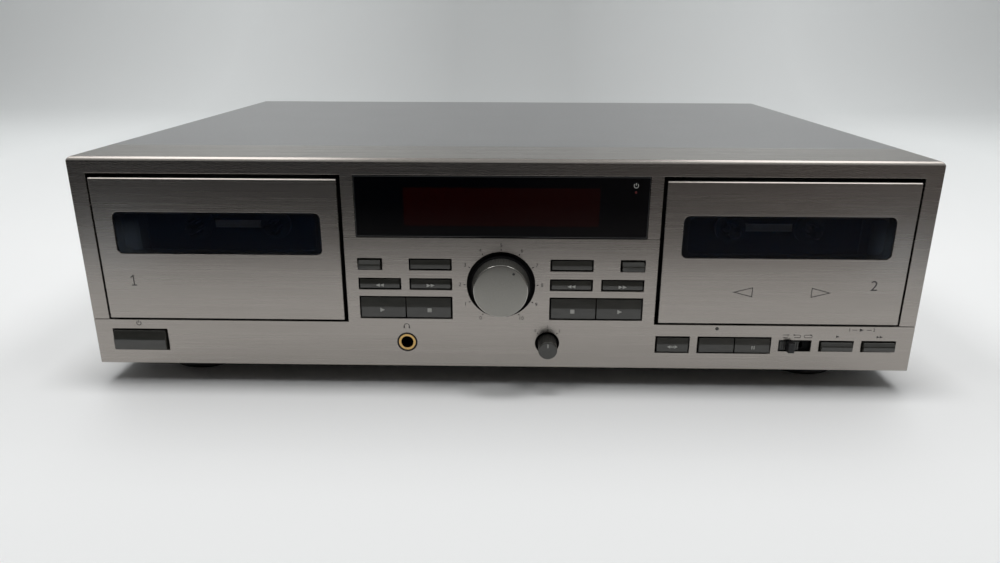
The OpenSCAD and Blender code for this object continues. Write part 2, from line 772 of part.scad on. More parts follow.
// Rear sockets and gland
jack_x = jack_side - case_w / 2;
jack_neck_r = jack_r - jack_step;
barrel_r = jack_r + barrel_wall;
gland_x = case_w / 2 - gland_side;
gland_neck_r = gland_r + gland_wall;
gland_collar_r = gland_neck_r + gland_edge;
JACKS = [for (i = [-1, 1], j = [-1, 1]) [jack_x + i * jack_pitch / 2, jack_z + j * jack_pitch / 2]];

// Main board and transformer
transformer_x = case_w / 2 - transformer_side;
transformer_y = case_d - transformer_rear;
main_x = main_side + main_w / 2 - tray_half;
main_y = rear_y - main_rear - main_l / 2;
main_z = sheet_t + main_post_h;
MAIN_POSTS = [
    for (i = [-1, 1], j = [-1, 1])
        [main_x + i * (main_w / 2 - main_post_in), main_y + j * (main_l / 2 - main_post_in)]
];

// Turns a profile (radius, distance in front of the fascia) into a round piece on the Y axis
module turned(x, z) {
    translate([x, 0, z]) rotate([90, 0, 0]) rotate_extrude() children();
}

// Extrudes an (x, z) outline from y0 to y1
module along_y(y0, y1) {
    translate([0, y1, 0]) rotate([90, 0, 0]) linear_extrude(y1 - y0) children();
}

// Extrudes a (y, z) outline by w, centred on x
module along_x(w, x = 0) {
    translate([x, 0, 0]) rotate([90, 0, 90]) linear_extrude(w, center = true) children();
}

// Cylinder along Y from y0 to y1
module rod_y(x, z, r, y0, y1) {
    translate([x, y1, z]) rotate([90, 0, 0]) cylinder(r = r, h = y1 - y0);
}

// Box from corner a to corner b
module block(a, b) {
    translate(a) cube(b - a);
}

// Box that spans w about x and h about z, from y0 to y1
module panel(x, z, w, h, y0, y1) {
    block([x - w / 2, y0, z - h / 2], [x + w / 2, y1, z + h / 2]);
}

// Outline that stands on z = 0, with its two upper corners round
module round_top(w, h, r) {
    translate([-w / 2, 0]) square([w, h - r]);
    translate([-w / 2 + r, 0]) square([w - 2 * r, h]);
    for (s = [-1, 1]) translate([s * (w / 2 - r), h - r]) circle(r);
}

module round_rect(w, h, r) {
    square([w - 2 * r, h], center = true);
    square([w, h - 2 * r], center = true);
    for (i = [-1, 1], j = [-1, 1]) translate([i * (w / 2 - r), j * (h / 2 - r)]) circle(r);
}

// Sets a piece given in fascia coordinates on its feet: x across, y back from the face, z up
module placed() {
    translate([0, front_y, foot_h]) children();
}

// Fascia

// Outside of the moulded front: round along the two top sides and the top front edge
module front_block() {
    intersection() {
        along_y(0, fascia_d) round_top(case_w, case_h, edge_r);
        along_x(case_w) union() {
            square([fascia_d, case_h - edge_r]);
            translate([edge_r, 0]) square([fascia_d - edge_r, case_h]);
            translate([edge_r, case_h - edge_r]) circle(edge_r);
        }
    }
}

module fascia_hollow() {
    inner = case_w / 2 - fascia_t;
    block([-inner, fascia_t, -cut], [inner, fascia_d + cut, case_h - fascia_t]);
}

module door_opening(s, edge, z0) {
    half = door_open_w / 2 + edge;
    block([s * door_x - half, -cut, z0], [s * door_x + half, frame_back + cut, door_top + edge]);
}

module upper_fascia() {
    color(SATIN) placed() difference() {
        front_block();
        fascia_hollow();
        block([-case_w, -cut, -cut], [case_w, fascia_d + cut, strip_h]);
        for (s = [-1, 1]) door_opening(s, 0, 0);
        block([-mid_half - cut, -cut, 0], [mid_half + cut, frame_back, panel_top]);
        block([-display_half, -cut, 0], [display_half, frame_back, door_top]);
    }
}

module lower_fascia() {
    nose_hole_r = phones_r + phones_nose_wall + 2 * fix_gap;
    color(SATIN) placed() difference() {
        union() {
            difference() {
                front_block();
                fascia_hollow();
                block([-case_w, -cut, strip_h - seam], [case_w, fascia_d + cut, case_h + cut]);
            }
            block([-mid_half, 0, 0], [mid_half, fascia_t, panel_top - seam]);
            block([fascia_t - case_w / 2, 0, 0], [case_w / 2 - fascia_t, fascia_lip, fascia_t]);
        }
        for (k = KEY_OPENINGS) panel(k[0], k[1], k[2], k[3], -cut, fascia_t + cut);
        panel(lever_win_x, strip_z, lever_win_w, lever_win_h, -cut, fascia_t + cut);
        rod_y(0, level_z, well_d / 2, -cut, fascia_t + cut);
        rod_y(nr_x, strip_z, nr_ring_d / 2, -cut, fascia_t + cut);
        rod_y(phones_x, strip_z, nose_hole_r, -cut, fascia_t + cut);
    }
}

// Carrier frame: guides the keys, carries the door hinges, the boards and the mechanisms
module fascia_frame() {
    half = case_w / 2 - fascia_t - seat_gap;
    foot_back = tray_y + frame_foot_d;
    foot_top = fascia_t + frame_foot_t;
    guide = 2 * (key_gap - guide_gap);
    slot_w = lever_travel + lever_stem_w + 2 * shaft_gap;
    slot_h = lever_stem_w + 2 * shaft_gap;
    through = frame_back + cut;
    color(BLACK) placed() difference() {
        union() {
            block([-half, fascia_t, fascia_t], [half, frame_back, case_h - fascia_t - seat_gap]);
            block([-half, fascia_t, fascia_t], [half, foot_back, foot_top]);
            block([-half, tray_y, sheet_t], [half, foot_back, foot_top]);
            for (s = [-1, 1], u = [-1, 1], z = [post_z0, post_z1])
                rod_y(s * door_x + u * post_x, z, post_r, fascia_t, plate_y);
            for (p = BOARD_POSTS) rod_y(p[0], p[1], board_post_r, fascia_t, board_y);
            for (s = [-1, 1], u = [-1, 1]) hinge_lugs(s * door_x + u * hinge_x);
        }
        for (s = [-1, 1]) {
            door_opening(s, frame_edge, strip_h - seam - frame_edge);
            for (u = [-1, 1]) hinge_slot(s * door_x + u * hinge_x);
        }
        block([-display_half + tube_side - cut, -cut, display_z0 + tube_frame],
              [display_half - tube_side + cut, through, door_top - tube_frame]);
        for (k = KEY_OPENINGS) panel(k[0], k[1], k[2] - guide, k[3] - guide, -cut, through);
        panel(lever_win_x, strip_z, slot_w, slot_h, -cut, through);
        rod_y(0, level_z, level_shaft_r + shaft_gap, -cut, through);
        rod_y(nr_x, strip_z, nr_shaft_r + shaft_gap, -cut, through);
        rod_y(phones_x, strip_z, phones_r + phones_nose_wall + fix_gap, -cut, through);
    }
}

// Pair of ears on the frame that hold one hinge pin
module hinge_lugs(x) {
    step = arm_t / 2 + lug_gap + lug_t / 2;
    for (s = [-1, 1]) panel(x + s * step, hinge_z, lug_t, 2 * ear_r, fascia_t, lug_back);
}

// Room for one hinge arm, and the bores for its pin
module hinge_slot(x) {
    half = arm_t / 2 + lug_gap;
    block([x - half, -cut, hinge_z - ear_r - seat_gap], [x + half, frame_back + cut, strip_h]);
    translate([x, hinge_y, hinge_z]) rotate([0, 90, 0])
        cylinder(r = pin_r + run_gap, h = 2 * (half + lug_t) + cut, center = true);
}

// Doors

module door_panel(s) {
    front = -door_proud;
    color(SATIN) placed() translate([s * door_x, 0, 0]) difference() {
        along_x(door_w) polygon([
            [front + door_bevel, door_z1],
            [front, door_z1 - door_bevel],
            [front, door_z0],
            [door_back - door_relief, door_z0],
            [door_back, door_z0 + door_relief],
            [door_back, door_z1]
        ]);
        translate([0, 0, window_mid_z]) along_y(front - cut, door_back + cut)
            round_rect(window_w, window_h, window_r);
    }
}

module door_window(s) {
    color(GLASS) placed() translate([s * door_x, 0, window_mid_z])
        along_y(window_sink - door_proud, door_back)
            round_rect(window_w - 2 * pane_gap, window_h - 2 * pane_gap, window_r - pane_gap);
}

// Pocket on the back of a door: front wall, cheeks, rear lips, floor ledges and hinge arms
module cassette_holder(s) {
    front = door_back + wall_t;
    back = pocket_back + lip_t;
    inside = pocket_w / 2;
    outside = inside + cheek_t;
    low = door_z0 + holder_low;
    floor_z = tape_z - ledge_h;
    color(BLACK) placed() translate([s * door_x, 0, 0]) difference() {
        union() {
            block([-outside, door_back, low], [outside, front, pocket_top]);
            for (u = [0, 1]) mirror([u, 0, 0]) {
                block([inside, door_back, floor_z], [outside, back, pocket_top]);
                block([inside - lip_reach, pocket_back, floor_z], [outside, back, pocket_top - lip_drop]);
                block([ledge_x, door_back, floor_z], [outside, back, tape_z]);
                hinge_arm(low);
            }
        }
        translate([0, 0, window_mid_z]) along_y(-cut, front + cut)
            round_rect(window_w - 2 * pane_rim_side, window_h - 2 * pane_rim, window_r - pane_gap);
    }
}

// Arm from the holder's wall down to the hinge, with its pin
module hinge_arm(low) {
    front = hinge_y - ear_wall;
    top = low + arm_root;
    along_x(arm_t, hinge_x) union() {
        translate([hinge_y, hinge_z]) circle(ear_r);
        translate([front, hinge_z]) square([lug_back - front, top - hinge_z]);
        translate([door_back, low]) square([lug_back - door_back, arm_root]);
    }
    translate([hinge_x, hinge_y, hinge_z]) rotate([0, 90, 0])
        cylinder(r = pin_r, h = arm_t + 2 * (lug_gap + lug_t), center = true);
}

// Display

module display_window() {
    half = display_half - display_gap;
    color(GLASS) placed()
        block([-half, -display_proud, display_z0], [half, fascia_t, door_top - display_gap]);
}

module display_tube() {
    half = display_half - tube_side;
    color([0.16, 0.05, 0.05]) placed()
        block([-half, board_y - tube_t, display_z0 + tube_edge], [half, board_y, door_top - tube_edge]);
}

// Keys

// One key: cap with a leaning upper half, guide body, retaining flange and switch stem
module key(name) {
    k = key_row(name);
    w = key_cap_w(k);
    h = k[4] - 2 * key_gap;
    front = -k[6];
    back = flange_y + flange_t;
    over = guide_gap + key_flange;
    left = k[5] == 1 ? 0 : over;
    right = k[5] == -1 ? 0 : over;
    tip = switch_y - seat_gap - k[8];
    color(KEY_GREY) placed() translate([key_mid_x(k), 0, k[2]]) {
        along_x(w) polygon([
            [back, h / 2],
            [front + k[7], h / 2],
            [front, key_bevel],
            [front, key_bevel - h / 2],
            [front + key_bevel, -h / 2],
            [back, -h / 2]
        ]);
        block([-w / 2 - left, flange_y, -h / 2 - over], [w / 2 + right, back, h / 2 + over]);
        panel(0, 0, stem_w, min(stem_w, h), flange_y, tip);
    }
}

// Knobs and lever

// Large knob: bevelled face with an index mark, fluted flank that flares to a plain base ring
module level_knob() {
    face_r = level_d / 2;
    base_r = level_base_d / 2;
    flank_front = level_proud - level_bevel;
    flank_back = level_ring - knob_back;
    flare = atan((base_r - face_r) / (flank_front - flank_back));
    color(KNOB_GREY) placed() difference() {
        turned(0, level_z) polygon([
            [0, level_proud],
            [face_r - level_bevel, level_proud],
            [face_r, flank_front],
            [base_r, flank_back],
            [base_r, -knob_back],
            [level_shaft_r, -knob_back],
            [level_shaft_r, seat_gap - board_y],
            [0, seat_gap - board_y]
        ]);
        for (i = [0 : level_flutes - 1])
            translate([0, 0, level_z]) rotate([0, 360 * i / level_flutes, 0])
                translate([base_r, -flank_back, 0]) rotate([90, 0, -flare])
                    cylinder(r = flute_r, h = flank_front - flank_back - level_bevel, $fn = 16);
        rod_y(index_r * sin(index_turn), level_z + index_r * cos(index_turn), index_mark_r,
              -level_proud - cut, index_d - level_proud);
    }
}

module nr_knob() {
    r = nr_d / 2;
    shaft_end = seat_gap - board_y;
    color(KEY_GREY) placed() difference() {
        turned(nr_x, strip_z) polygon([
            [0, nr_proud],
            [r - nr_bevel, nr_proud],
            [r, nr_proud - nr_bevel],
            [r, -knob_back],
            [nr_shaft_r, -knob_back],
            [nr_shaft_r, shaft_end],
            [0, shaft_end]
        ]);
        for (i = [0 : nr_flutes - 1])
            translate([nr_x, 0, strip_z]) rotate([0, 360 * i / nr_flutes, 0])
                translate([r + flute_r / 3, 0, 0]) rotate([90, 0, 0])
                    cylinder(r = flute_r, h = nr_proud - nr_plain, $fn = 16);
    }
}

// Slide in the reverse window, with a nose to push and a stem to the switch behind
module reverse_lever() {
    h = lever_win_h - 2 * lever_gap;
    slide_back = fascia_t - seat_gap - fix_gap;
    front = -lever_proud;
    color(BLACK) placed() translate([lever_win_x - lever_travel / 2, 0, strip_z]) {
        panel(0, 0, slide_w, h, slide_back - lever_slide_t, slide_back);
        along_x(lever_w) polygon([
            [slide_back, h / 2],
            [front + lever_bevel, h / 2],
            [front, h / 2 - lever_bevel],
            [front, lever_bevel - h / 2],
            [front + lever_bevel, -h / 2],
            [slide_back, -h / 2]
        ]);
        panel(0, 0, lever_stem_w, lever_stem_w, 0, switch_y - seat_gap);
    }
}

// Headphone socket, boards and controls behind the fascia

module phones_jack() {
    bush_r = phones_r + phones_bush_wall;
    color(BLACK) placed() difference() {
        union() {
            rod_y(phones_x, strip_z, phones_r + phones_nose_wall, seat_gap, frame_back);
            panel(phones_x, strip_z, phones_body_w, phones_body_w, frame_back, phones_l);
        }
        rod_y(phones_x, strip_z, bush_r + fix_gap, -cut, phones_bush_l + fix_gap);
        rod_y(phones_x, strip_z, phones_r + phones_room, -cut, phones_l - fascia_t);
    }
    color(BRASS) placed() difference() {
        rod_y(phones_x, strip_z, bush_r, 0, phones_bush_l);
        rod_y(phones_x, strip_z, phones_r, -cut, phones_bush_l + cut);
    }
}

module front_boards() {
    strip_top = strip_z + board_edge;
    mid_edge = keys_in + keys_w + 2 * seat_gap;
    color(BOARD) placed() {
        block([nr_x - nr_pot_w, board_y, board_low], [door_outer, board_back, strip_top]);
        block([power_x - power_w / 2, board_y, board_low], [power_x + power_w / 2, board_back, strip_top]);
        difference() {
            block([-mid_edge, board_y, strip_h], [mid_edge, board_back, door_top]);
            rod_y(0, level_z, level_shaft_r + 2 * shaft_gap, board_y - cut, board_back + cut);
        }
    }
    color([0.8, 0.78, 0.72]) placed()
        for (k = KEYS) panel(key_mid_x(k), k[2], switch_w, switch_h, switch_y, board_y - fix_gap);
}

module panel_controls() {
    front = board_y - pot_l;
    color(STEEL) placed() {
        difference() {
            panel(0, level_z, level_pot_w, level_pot_w, front, board_y);
            rod_y(0, level_z, level_shaft_r + run_gap, front - cut, board_y + cut);
        }
        difference() {
            panel(nr_x, strip_z, nr_pot_w, nr_pot_w, front, board_y);
            rod_y(nr_x, strip_z, nr_shaft_r + run_gap, front - cut, board_y + cut);
        }
        panel(lever_win_x, strip_z, reverse_w, reverse_h, switch_y, board_y);
    }
}

// Case

module top_cover() {
    lip_half = tray_half - lip_side;
    color(COVER) placed() difference() {
        union() {
            along_y(cover_y, case_d) difference() {
                round_top(case_w, case_h, edge_r);
                translate([0, -cut]) round_top(case_w - 2 * sheet_t, roof_z + cut, edge_r - sheet_t);
            }
            block([-lip_half, rear_y, case_h - rear_lip], [lip_half, case_d, roof_z + sheet_t / 2]);
        }
        for (p = SIDE_SCREWS) side_hole(p);
        for (x = LIP_SCREWS) rod_y(x, lip_screw_z, screw_hole_r, rear_y - cut, case_d + cut);
    }
}

module side_hole(p) {
    translate([p[0] * case_w / 2, p[1], side_screw_z]) rotate([0, 90, 0])
        cylinder(r = screw_hole_r, h = 2 * screw_l + cut, center = true);
}

// Floor tray with two side flanges, posts for the main board and air slots by the transformer
module bottom_chassis() {
    nose_half = case_w / 2 - fascia_t - sheet_gap;
    flange_back = rear_y - sheet_t - sheet_gap;
    color(ZINC) placed() difference() {
        union() {
            block([-tray_half, cover_y, 0], [tray_half, rear_y, sheet_t]);
            block([-nose_half, tray_y, 0], [nose_half, cover_y + cut, sheet_t]);
            for (u = [0, 1]) mirror([u, 0, 0])
                block([tray_half - sheet_t, cover_y, 0], [tray_half, flange_back, flange_h]);
            for (p = MAIN_POSTS) translate([p[0], p[1], 0]) cylinder(r = main_post_r, h = main_z);
        }
        for (p = SIDE_SCREWS) side_hole(p);
        for (p = FOOT_PLACES) translate([p[0], p[1], -cut]) cylinder(r = screw_hole_r, h = sheet_t + 2 * cut);
        for (i = [0 : vent_slots - 1])
            translate([transformer_x - vent_l / 2, transformer_y - vent_front - i * vent_pitch, -cut])
                cube([vent_l, vent_w, sheet_t + 2 * cut]);
    }
}

module rear_panel() {
    front = rear_y - sheet_t;
    color(ZINC) placed() difference() {
        translate([0, 0, sheet_t]) along_y(front, rear_y)
            round_top(2 * tray_half, roof_z - sheet_gap - sheet_t, edge_r);
        for (p = JACKS) rod_y(p[0], p[1], barrel_r + seat_gap, front - cut, case_d);
        rod_y(gland_x, gland_z, gland_neck_r + seat_gap, front - cut, case_d);
        for (x = LIP_SCREWS) rod_y(x, lip_screw_z, screw_hole_r, front - cut, case_d);
    }
}

// Pan-head screw along +Z, its head above the seat at z = 0
module screw() {
    rotate_extrude() polygon([
        [0, head_t],
        [head_r - head_round, head_t],
        [head_r, head_t - head_round],
        [head_r, 0],
        [screw_r, 0],
        [screw_r, -screw_l],
        [0, -screw_l]
    ]);
}

module case_screws() {
    color([0.15, 0.15, 0.16]) placed() {
        for (p = SIDE_SCREWS)
            translate([p[0] * case_w / 2, p[1], side_screw_z]) rotate([0, p[0] * 90, 0]) screw();
        for (x = LIP_SCREWS) translate([x, case_d, lip_screw_z]) rotate([-90, 0, 0]) screw();
        for (p = FOOT_PLACES) translate([p[0], p[1], -foot_web]) rotate([180, 0, 0]) screw();
    }
}

// Round feet with a turned-in lower edge and a well for the fixing screw
module feet() {
    r = foot_d / 2;
    color(BLACK) placed() for (p = FOOT_PLACES) translate([p[0], p[1], 0]) difference() {
        rotate_extrude() {
            translate([0, -foot_h]) square([r - foot_round, foot_h]);
            translate([0, foot_round - foot_h]) square([r, foot_h - foot_round]);
            translate([r - foot_round, foot_round - foot_h]) circle(foot_round);
        }
        translate([0, 0, -foot_h - cut]) cylinder(r = head_r + foot_well, h = foot_h - foot_web + cut);
        translate([0, 0, -foot_h]) cylinder(r = screw_hole_r, h = foot_h + cut);
    }
}

// Rear sockets

module line_jack_block() {
    side = jack_pitch + 2 * (jack_r + jack_edge);
    front = rear_y - barrel_l;
    face = rear_y + jack_plate_t;
    color(BLACK) placed() difference() {
        union() {
            panel(jack_x, jack_z, side, side, rear_y, face);
            for (p = JACKS) rod_y(p[0], p[1], barrel_r, front, face);
        }
        for (p = JACKS)
            rod_y(p[0], p[1], jack_neck_r + fix_gap, front + barrel_floor - fix_gap, face + cut);
    }
}

module line_jack_sleeves() {
    front = rear_y - barrel_l + barrel_floor;
    end = case_d + jack_proud;
    face = rear_y + jack_plate_t;
    color(ZINC) placed() for (p = JACKS) difference() {
        union() {
            rod_y(p[0], p[1], jack_neck_r, front, end);
            rod_y(p[0], p[1], jack_r, face, end);
        }
        rod_y(p[0], p[1], jack_r - jack_wall, face + sheet_t, end + cut);
        rod_y(p[0], p[1], jack_pin_r, front - cut, end);
    }
}

// Bush for the mains lead: outer collar, neck through the panel and inner collar
module mains_gland() {
    inner = rear_y - sheet_t;
    face = rear_y + gland_proud;
    color(BLACK) placed() difference() {
        union() {
            turned(gland_x, gland_z) polygon([
                [0, -rear_y],
                [gland_collar_r, -rear_y],
                [gland_collar_r, gland_bevel - face],
                [gland_collar_r - gland_bevel, -face],
                [0, -face]
            ]);
            rod_y(gland_x, gland_z, gland_neck_r, inner - gland_in, rear_y + cut);
            rod_y(gland_x, gland_z, gland_collar_r, inner - gland_in, inner - sheet_gap);
        }
        rod_y(gland_x, gland_z, gland_r, inner - gland_in - cut, face + cut);
    }
}

// Power supply and main board

module transformer() {
    color([0.3, 0.29, 0.28]) placed() translate([transformer_x, transformer_y, sheet_t]) difference() {
        union() {
            translate([-core_w / 2, -core_l / 2, 0]) cube([core_w, core_l, core_h]);
            translate([-core_w / 2 - tab_l, -tab_w / 2, 0]) cube([core_w + 2 * tab_l, tab_w, tab_t]);
        }
        translate([0, 0, core_h / 2])
            cube([coil_w + 2 * seat_gap, core_l + cut, coil_h + 2 * seat_gap], center = true);
    }
    color([0.75, 0.6, 0.25]) placed() translate([transformer_x, transformer_y, sheet_t + core_h / 2])
        cube([coil_w, coil_l, coil_h], center = true);
}

module main_board() {
    left = main_x - main_w / 2;
    right = main_x + main_w / 2;
    front = main_y - main_l / 2;
    back = main_y + main_l / 2;
    top = main_z + board_t + fix_gap;
    color(BOARD) placed() block([left, front, main_z], [right, back, main_z + board_t]);
    color([0.1, 0.12, 0.2]) placed() {
        for (i = [0 : 3])
            translate([right - cap_in - i * cap_pitch, back - cap_in, top]) cylinder(r = cap_r, h = cap_h);
        for (i = [-2 : 2])
            translate([main_x + i * chip_pitch - chip_w / 2, main_y - chip_front, top])
                cube([chip_w, chip_l, chip_h]);
    }
    color(ZINC) placed() translate([right - sink_side - sink_t, front + sink_front, top])
        cube([sink_t, sink_l, sink_h]);
}

// Tape mechanisms, each centred on its door

// Sides of a deck's middle that have a capstan: the right one, or both on the deck that reverses
function capstan_sides(s) = s < 0 ? [1] : [-1, 1];

// Mounting plate with its capstan bushes and bracket posts, and the motor bracket behind it
module mechanism_plate(s) {
    back = bracket_y + bracket_t;
    translate([s * door_x, 0, 0]) {
        difference() {
            union() {
                block([-plate_half, plate_y, plate_z0], [plate_half, plate_back, plate_z1]);
                for (u = capstan_sides(s))
                    rod_y(u * capstan_x, capstan_z, capstan_r + bush_wall, plate_y, plate_back + bush_l);
                for (u = [-1, 1], z = BRACKET_POSTS_Z)
                    rod_y(u * bracket_x, z, bracket_post_r, plate_y, bracket_y);
            }
            for (u = capstan_sides(s))
                rod_y(u * capstan_x, capstan_z, capstan_r + run_gap, plate_y - cut, bracket_y);
            for (u = [-1, 1])
                rod_y(u * reel_pitch / 2, reel_z, stub_r + run_gap, plate_y - cut, bracket_y);
        }
        difference() {
            block([-bracket_x - bracket_edge, bracket_y + fix_gap, BRACKET_POSTS_Z[0] - bracket_edge],
                  [bracket_x + bracket_edge, back, BRACKET_POSTS_Z[1] + bracket_edge]);
            rod_y(-motor_off, motor_z, pulley_r + 2 * shaft_gap, bracket_y, back + cut);
        }
    }
}

module mechanism_plates() {
    color(ZINC) placed() for (s = [-1, 1]) mechanism_plate(s);
}

// Pale strips behind the cassettes, seen through the door windows
module reflector_bars() {
    color([0.6, 0.58, 0.55]) placed() for (s = [-1, 1])
        panel(s * door_x, reel_z, bar_w, bar_h, plate_y - bar_t, plate_y);
}

// Reel table: flange, splined spindle with a pointed nose, and the stub held behind the plate
module reel(s, u) {
    splines = 6;
    flange_front = plate_y - reel_t;
    root = flange_front + cut;
    nose = pocket_y + spindle_in;
    taper = spindle_r;
    clip_back = plate_back + plate_t;
    color([0.85, 0.85, 0.83]) placed() translate([s * door_x + u * reel_pitch / 2, 0, reel_z]) {
        rod_y(0, 0, reel_r, flange_front, plate_y - seat_gap);
        turned(0, 0) polygon([
            [0, -nose],
            [spindle_r / 2, -nose],
            [spindle_r, -nose - taper],
            [spindle_r, -root],
            [0, -root]
        ]);
        for (i = [0 : splines - 1]) rotate([0, 360 * i / splines, 0])
            block([0, nose + taper + spline_t / 2, -spline_t / 2], [spline_r, root, spline_t / 2]);
        rod_y(0, 0, stub_r, flange_front, clip_back + cut);
        rod_y(0, 0, 2 * stub_r, plate_back + seat_gap, clip_back);
    }
}

// Capstan with its flywheel: rim, dished web and hub
module capstan(s, u) {
    tip = pocket_y + capstan_in;
    web_front = wheel_y + dish;
    web_back = web_front + web_t;
    tail = bracket_y - seat_gap;
    rim_in = flywheel_r - rim_w;
    color(STEEL) placed() turned(s * door_x + u * capstan_x, capstan_z) polygon([
        [0, -tip],
        [capstan_r, -tip],
        [capstan_r, -wheel_y],
        [hub_r, -wheel_y],
        [hub_r, -web_front],
        [rim_in, -web_front],
        [rim_in, -wheel_y],
        [flywheel_r, -wheel_y],
        [flywheel_r, -wheel_back],
        [rim_in, -wheel_back],
        [rim_in, -web_back],
        [hub_r, -web_back],
        [hub_r, -wheel_back],
        [capstan_r, -wheel_back],
        [capstan_r, -tail],
        [0, -tail]
    ]);
}

module motor_pulley(s) {
    half = belt_w / 2 + shaft_gap;
    shaft_end = motor_y + shaft_in;
    color(BRASS) placed() turned(s * door_x - motor_off, motor_z) polygon([
        [0, half - wheel_mid],
        [pulley_r, half - wheel_mid],
        [pulley_r, -half - wheel_mid],
        [shaft_r, -half - wheel_mid],
        [shaft_r, -shaft_end],
        [0, -shaft_end]
    ]);
}

module drive_motors() {
    color(ZINC) placed() for (s = [-1, 1]) translate([s * door_x - motor_off, 0, motor_z]) difference() {
        union() {
            rod_y(0, 0, motor_r, motor_y, motor_y + motor_l);
            rod_y(0, 0, boss_r, motor_y, motor_y + motor_l + boss_l);
        }
        rod_y(0, 0, shaft_r + run_gap, motor_y - cut, motor_y + shaft_in + cut);
    }
}

// Belt loop over round pulleys. A pulley is [x, z, radius, turn]: turn is 1 where the belt runs
// anticlockwise round it and -1 where it runs clockwise, with its back on the pulley.
function run_angle(a, b) =
    let (dx = b[0] - a[0], dz = b[1] - a[1])
    atan2(dz, dx) - asin((b[3] * b[2] - a[3] * a[2]) / norm([dx, dz]));
function wrap(a) = a - 360 * floor(a / 360);
function belt_side(pulleys, offset) = [
    for (i = [0 : len(pulleys) - 1])
        let (
            n = len(pulleys),
            p = pulleys[i],
            arrive = run_angle(pulleys[(i + n - 1) % n], p),
            leave = run_angle(p, pulleys[(i + 1) % n]),
            sweep = wrap(p[3] * (leave - arrive)),
            steps = max(2, ceil(sweep / 9)),
            r = p[2] + p[3] * offset
        )
        for (j = [0 : steps])
            let (a = arrive + p[3] * (sweep * j / steps - 90))
            [p[0] + r * cos(a), p[1] + r * sin(a)]
];

module belt_loop(pulleys) {
    along_y(wheel_mid - belt_w / 2, wheel_mid + belt_w / 2) difference() {
        polygon(belt_side(pulleys, belt_t / 2));
        polygon(belt_side(pulleys, -belt_t / 2));
    }
}

module drive_belts() {
    line = belt_gap + belt_t / 2;
    motor_stop = [-motor_off, motor_z, pulley_r + line, 1];
    right_stop = [capstan_x, capstan_z, flywheel_r + line, 1];
    left_stop = [-capstan_x, capstan_z, flywheel_r + line, -1];
    color([0.1, 0.1, 0.1]) placed() {
        translate([-door_x, 0, 0]) belt_loop([motor_stop, right_stop]);
        translate([door_x, 0, 0]) belt_loop([motor_stop, left_stop, right_stop]);
    }
}

// Head carriage: slide plate, shelf, magnetic head and a pinch roller below each capstan
module head_block(s) {
    half = carriage_w / 2;
    front = pocket_y + head_in;
    back = plate_y - seat_gap;
    low = capstan_z - carriage_drop;
    head_top = tape_z - head_low;
    crown_edge = head_top - crown_r / 4;
    roller_z = capstan_z - capstan_r - roller_r - seat_gap - head_lift;
    roller_y = front + cut;
    color(STEEL) placed() translate([s * door_x, 0, 0]) {
        union() {
            block([-half, back - slide_t, low], [half, back, head_top]);
            block([-half, front, low], [half, back, low + shelf_t]);
            block([-head_w / 2, front, low], [head_w / 2, front + head_l, crown_edge]);
            intersection() {
                block([-head_w / 2, front, low], [head_w / 2, front + head_l, head_top + cut]);
                rod_y(0, head_top - crown_r, crown_r, front, front + head_l);
            }
            for (u = capstan_sides(s)) rod_y(u * capstan_x, roller_z, roller_pin_r, front, back);
        }
        for (u = capstan_sides(s)) difference() {
            rod_y(u * capstan_x, roller_z, roller_r, roller_y, roller_y + roller_w);
            rod_y(u * capstan_x, roller_z, roller_pin_r + run_gap, roller_y - cut, roller_y + roller_w + cut);
        }
    }
}

bottom_chassis();
rear_panel();
top_cover();
upper_fascia();
lower_fascia();
fascia_frame();
display_window();
display_tube();
feet();
case_screws();
line_jack_block();
line_jack_sleeves();
mains_gland();
front_boards();
main_board();
transformer();
phones_jack();
panel_controls();
mechanism_plates();
reflector_bars();
drive_motors();
drive_belts();
motor_pulley(-1);  // motor_pulley_a
motor_pulley(1);  // motor_pulley_b
level_knob();
nr_knob();
reverse_lever();
key("power_key");  // power_key
key("a_eject_key");  // a_eject_key
key("a_reset_key");  // a_reset_key
key("a_rewind_key");  // a_rewind_key
key("a_forward_key");  // a_forward_key
key("a_play_key");  // a_play_key
key("a_stop_key");  // a_stop_key
key("b_eject_key");  // b_eject_key
key("b_reset_key");  // b_reset_key
key("b_rewind_key");  // b_rewind_key
key("b_forward_key");  // b_forward_key
key("b_play_key");  // b_play_key
key("b_stop_key");  // b_stop_key
key("direction_key");  // direction_key
key("record_key");  // record_key
key("pause_key");  // pause_key
key("normal_dub_key");  // normal_dub_key
key("high_dub_key");  // high_dub_key
door_panel(-1);  // door_panel_a
door_panel(1);  // door_panel_b
door_window(-1);  // door_window_a
door_window(1);  // door_window_b
cassette_holder(-1);  // cassette_holder_a
cassette_holder(1);  // cassette_holder_b
reel(-1, -1);  // reel_a_left
reel(-1, 1);  // reel_a_right
reel(1, -1);  // reel_b_left
reel(1, 1);  // reel_b_right
capstan(-1, 1);  // capstan_a
capstan(1, -1);  // capstan_b_left
capstan(1, 1);  // capstan_b_right
head_block(-1);  // head_block_a
head_block(1);  // head_block_b
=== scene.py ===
# %% [markdown]
# # A double cassette deck, dressed in Blender
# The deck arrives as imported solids: a folded case, a brushed front, two cassette doors, keys,
# knobs and the tape mechanism, each one a named node on a body that moves. This lesson keeps
# every solid where it is and gives it the edges, finishes and printed marks of the real thing.
# One rule runs through all of it: a finished piece has its place in its mesh, and its object
# stays at the origin, so that every pattern is tied to the deck.

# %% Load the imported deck
import json
import math

import bmesh
import bpy
from mathutils import Matrix, Vector


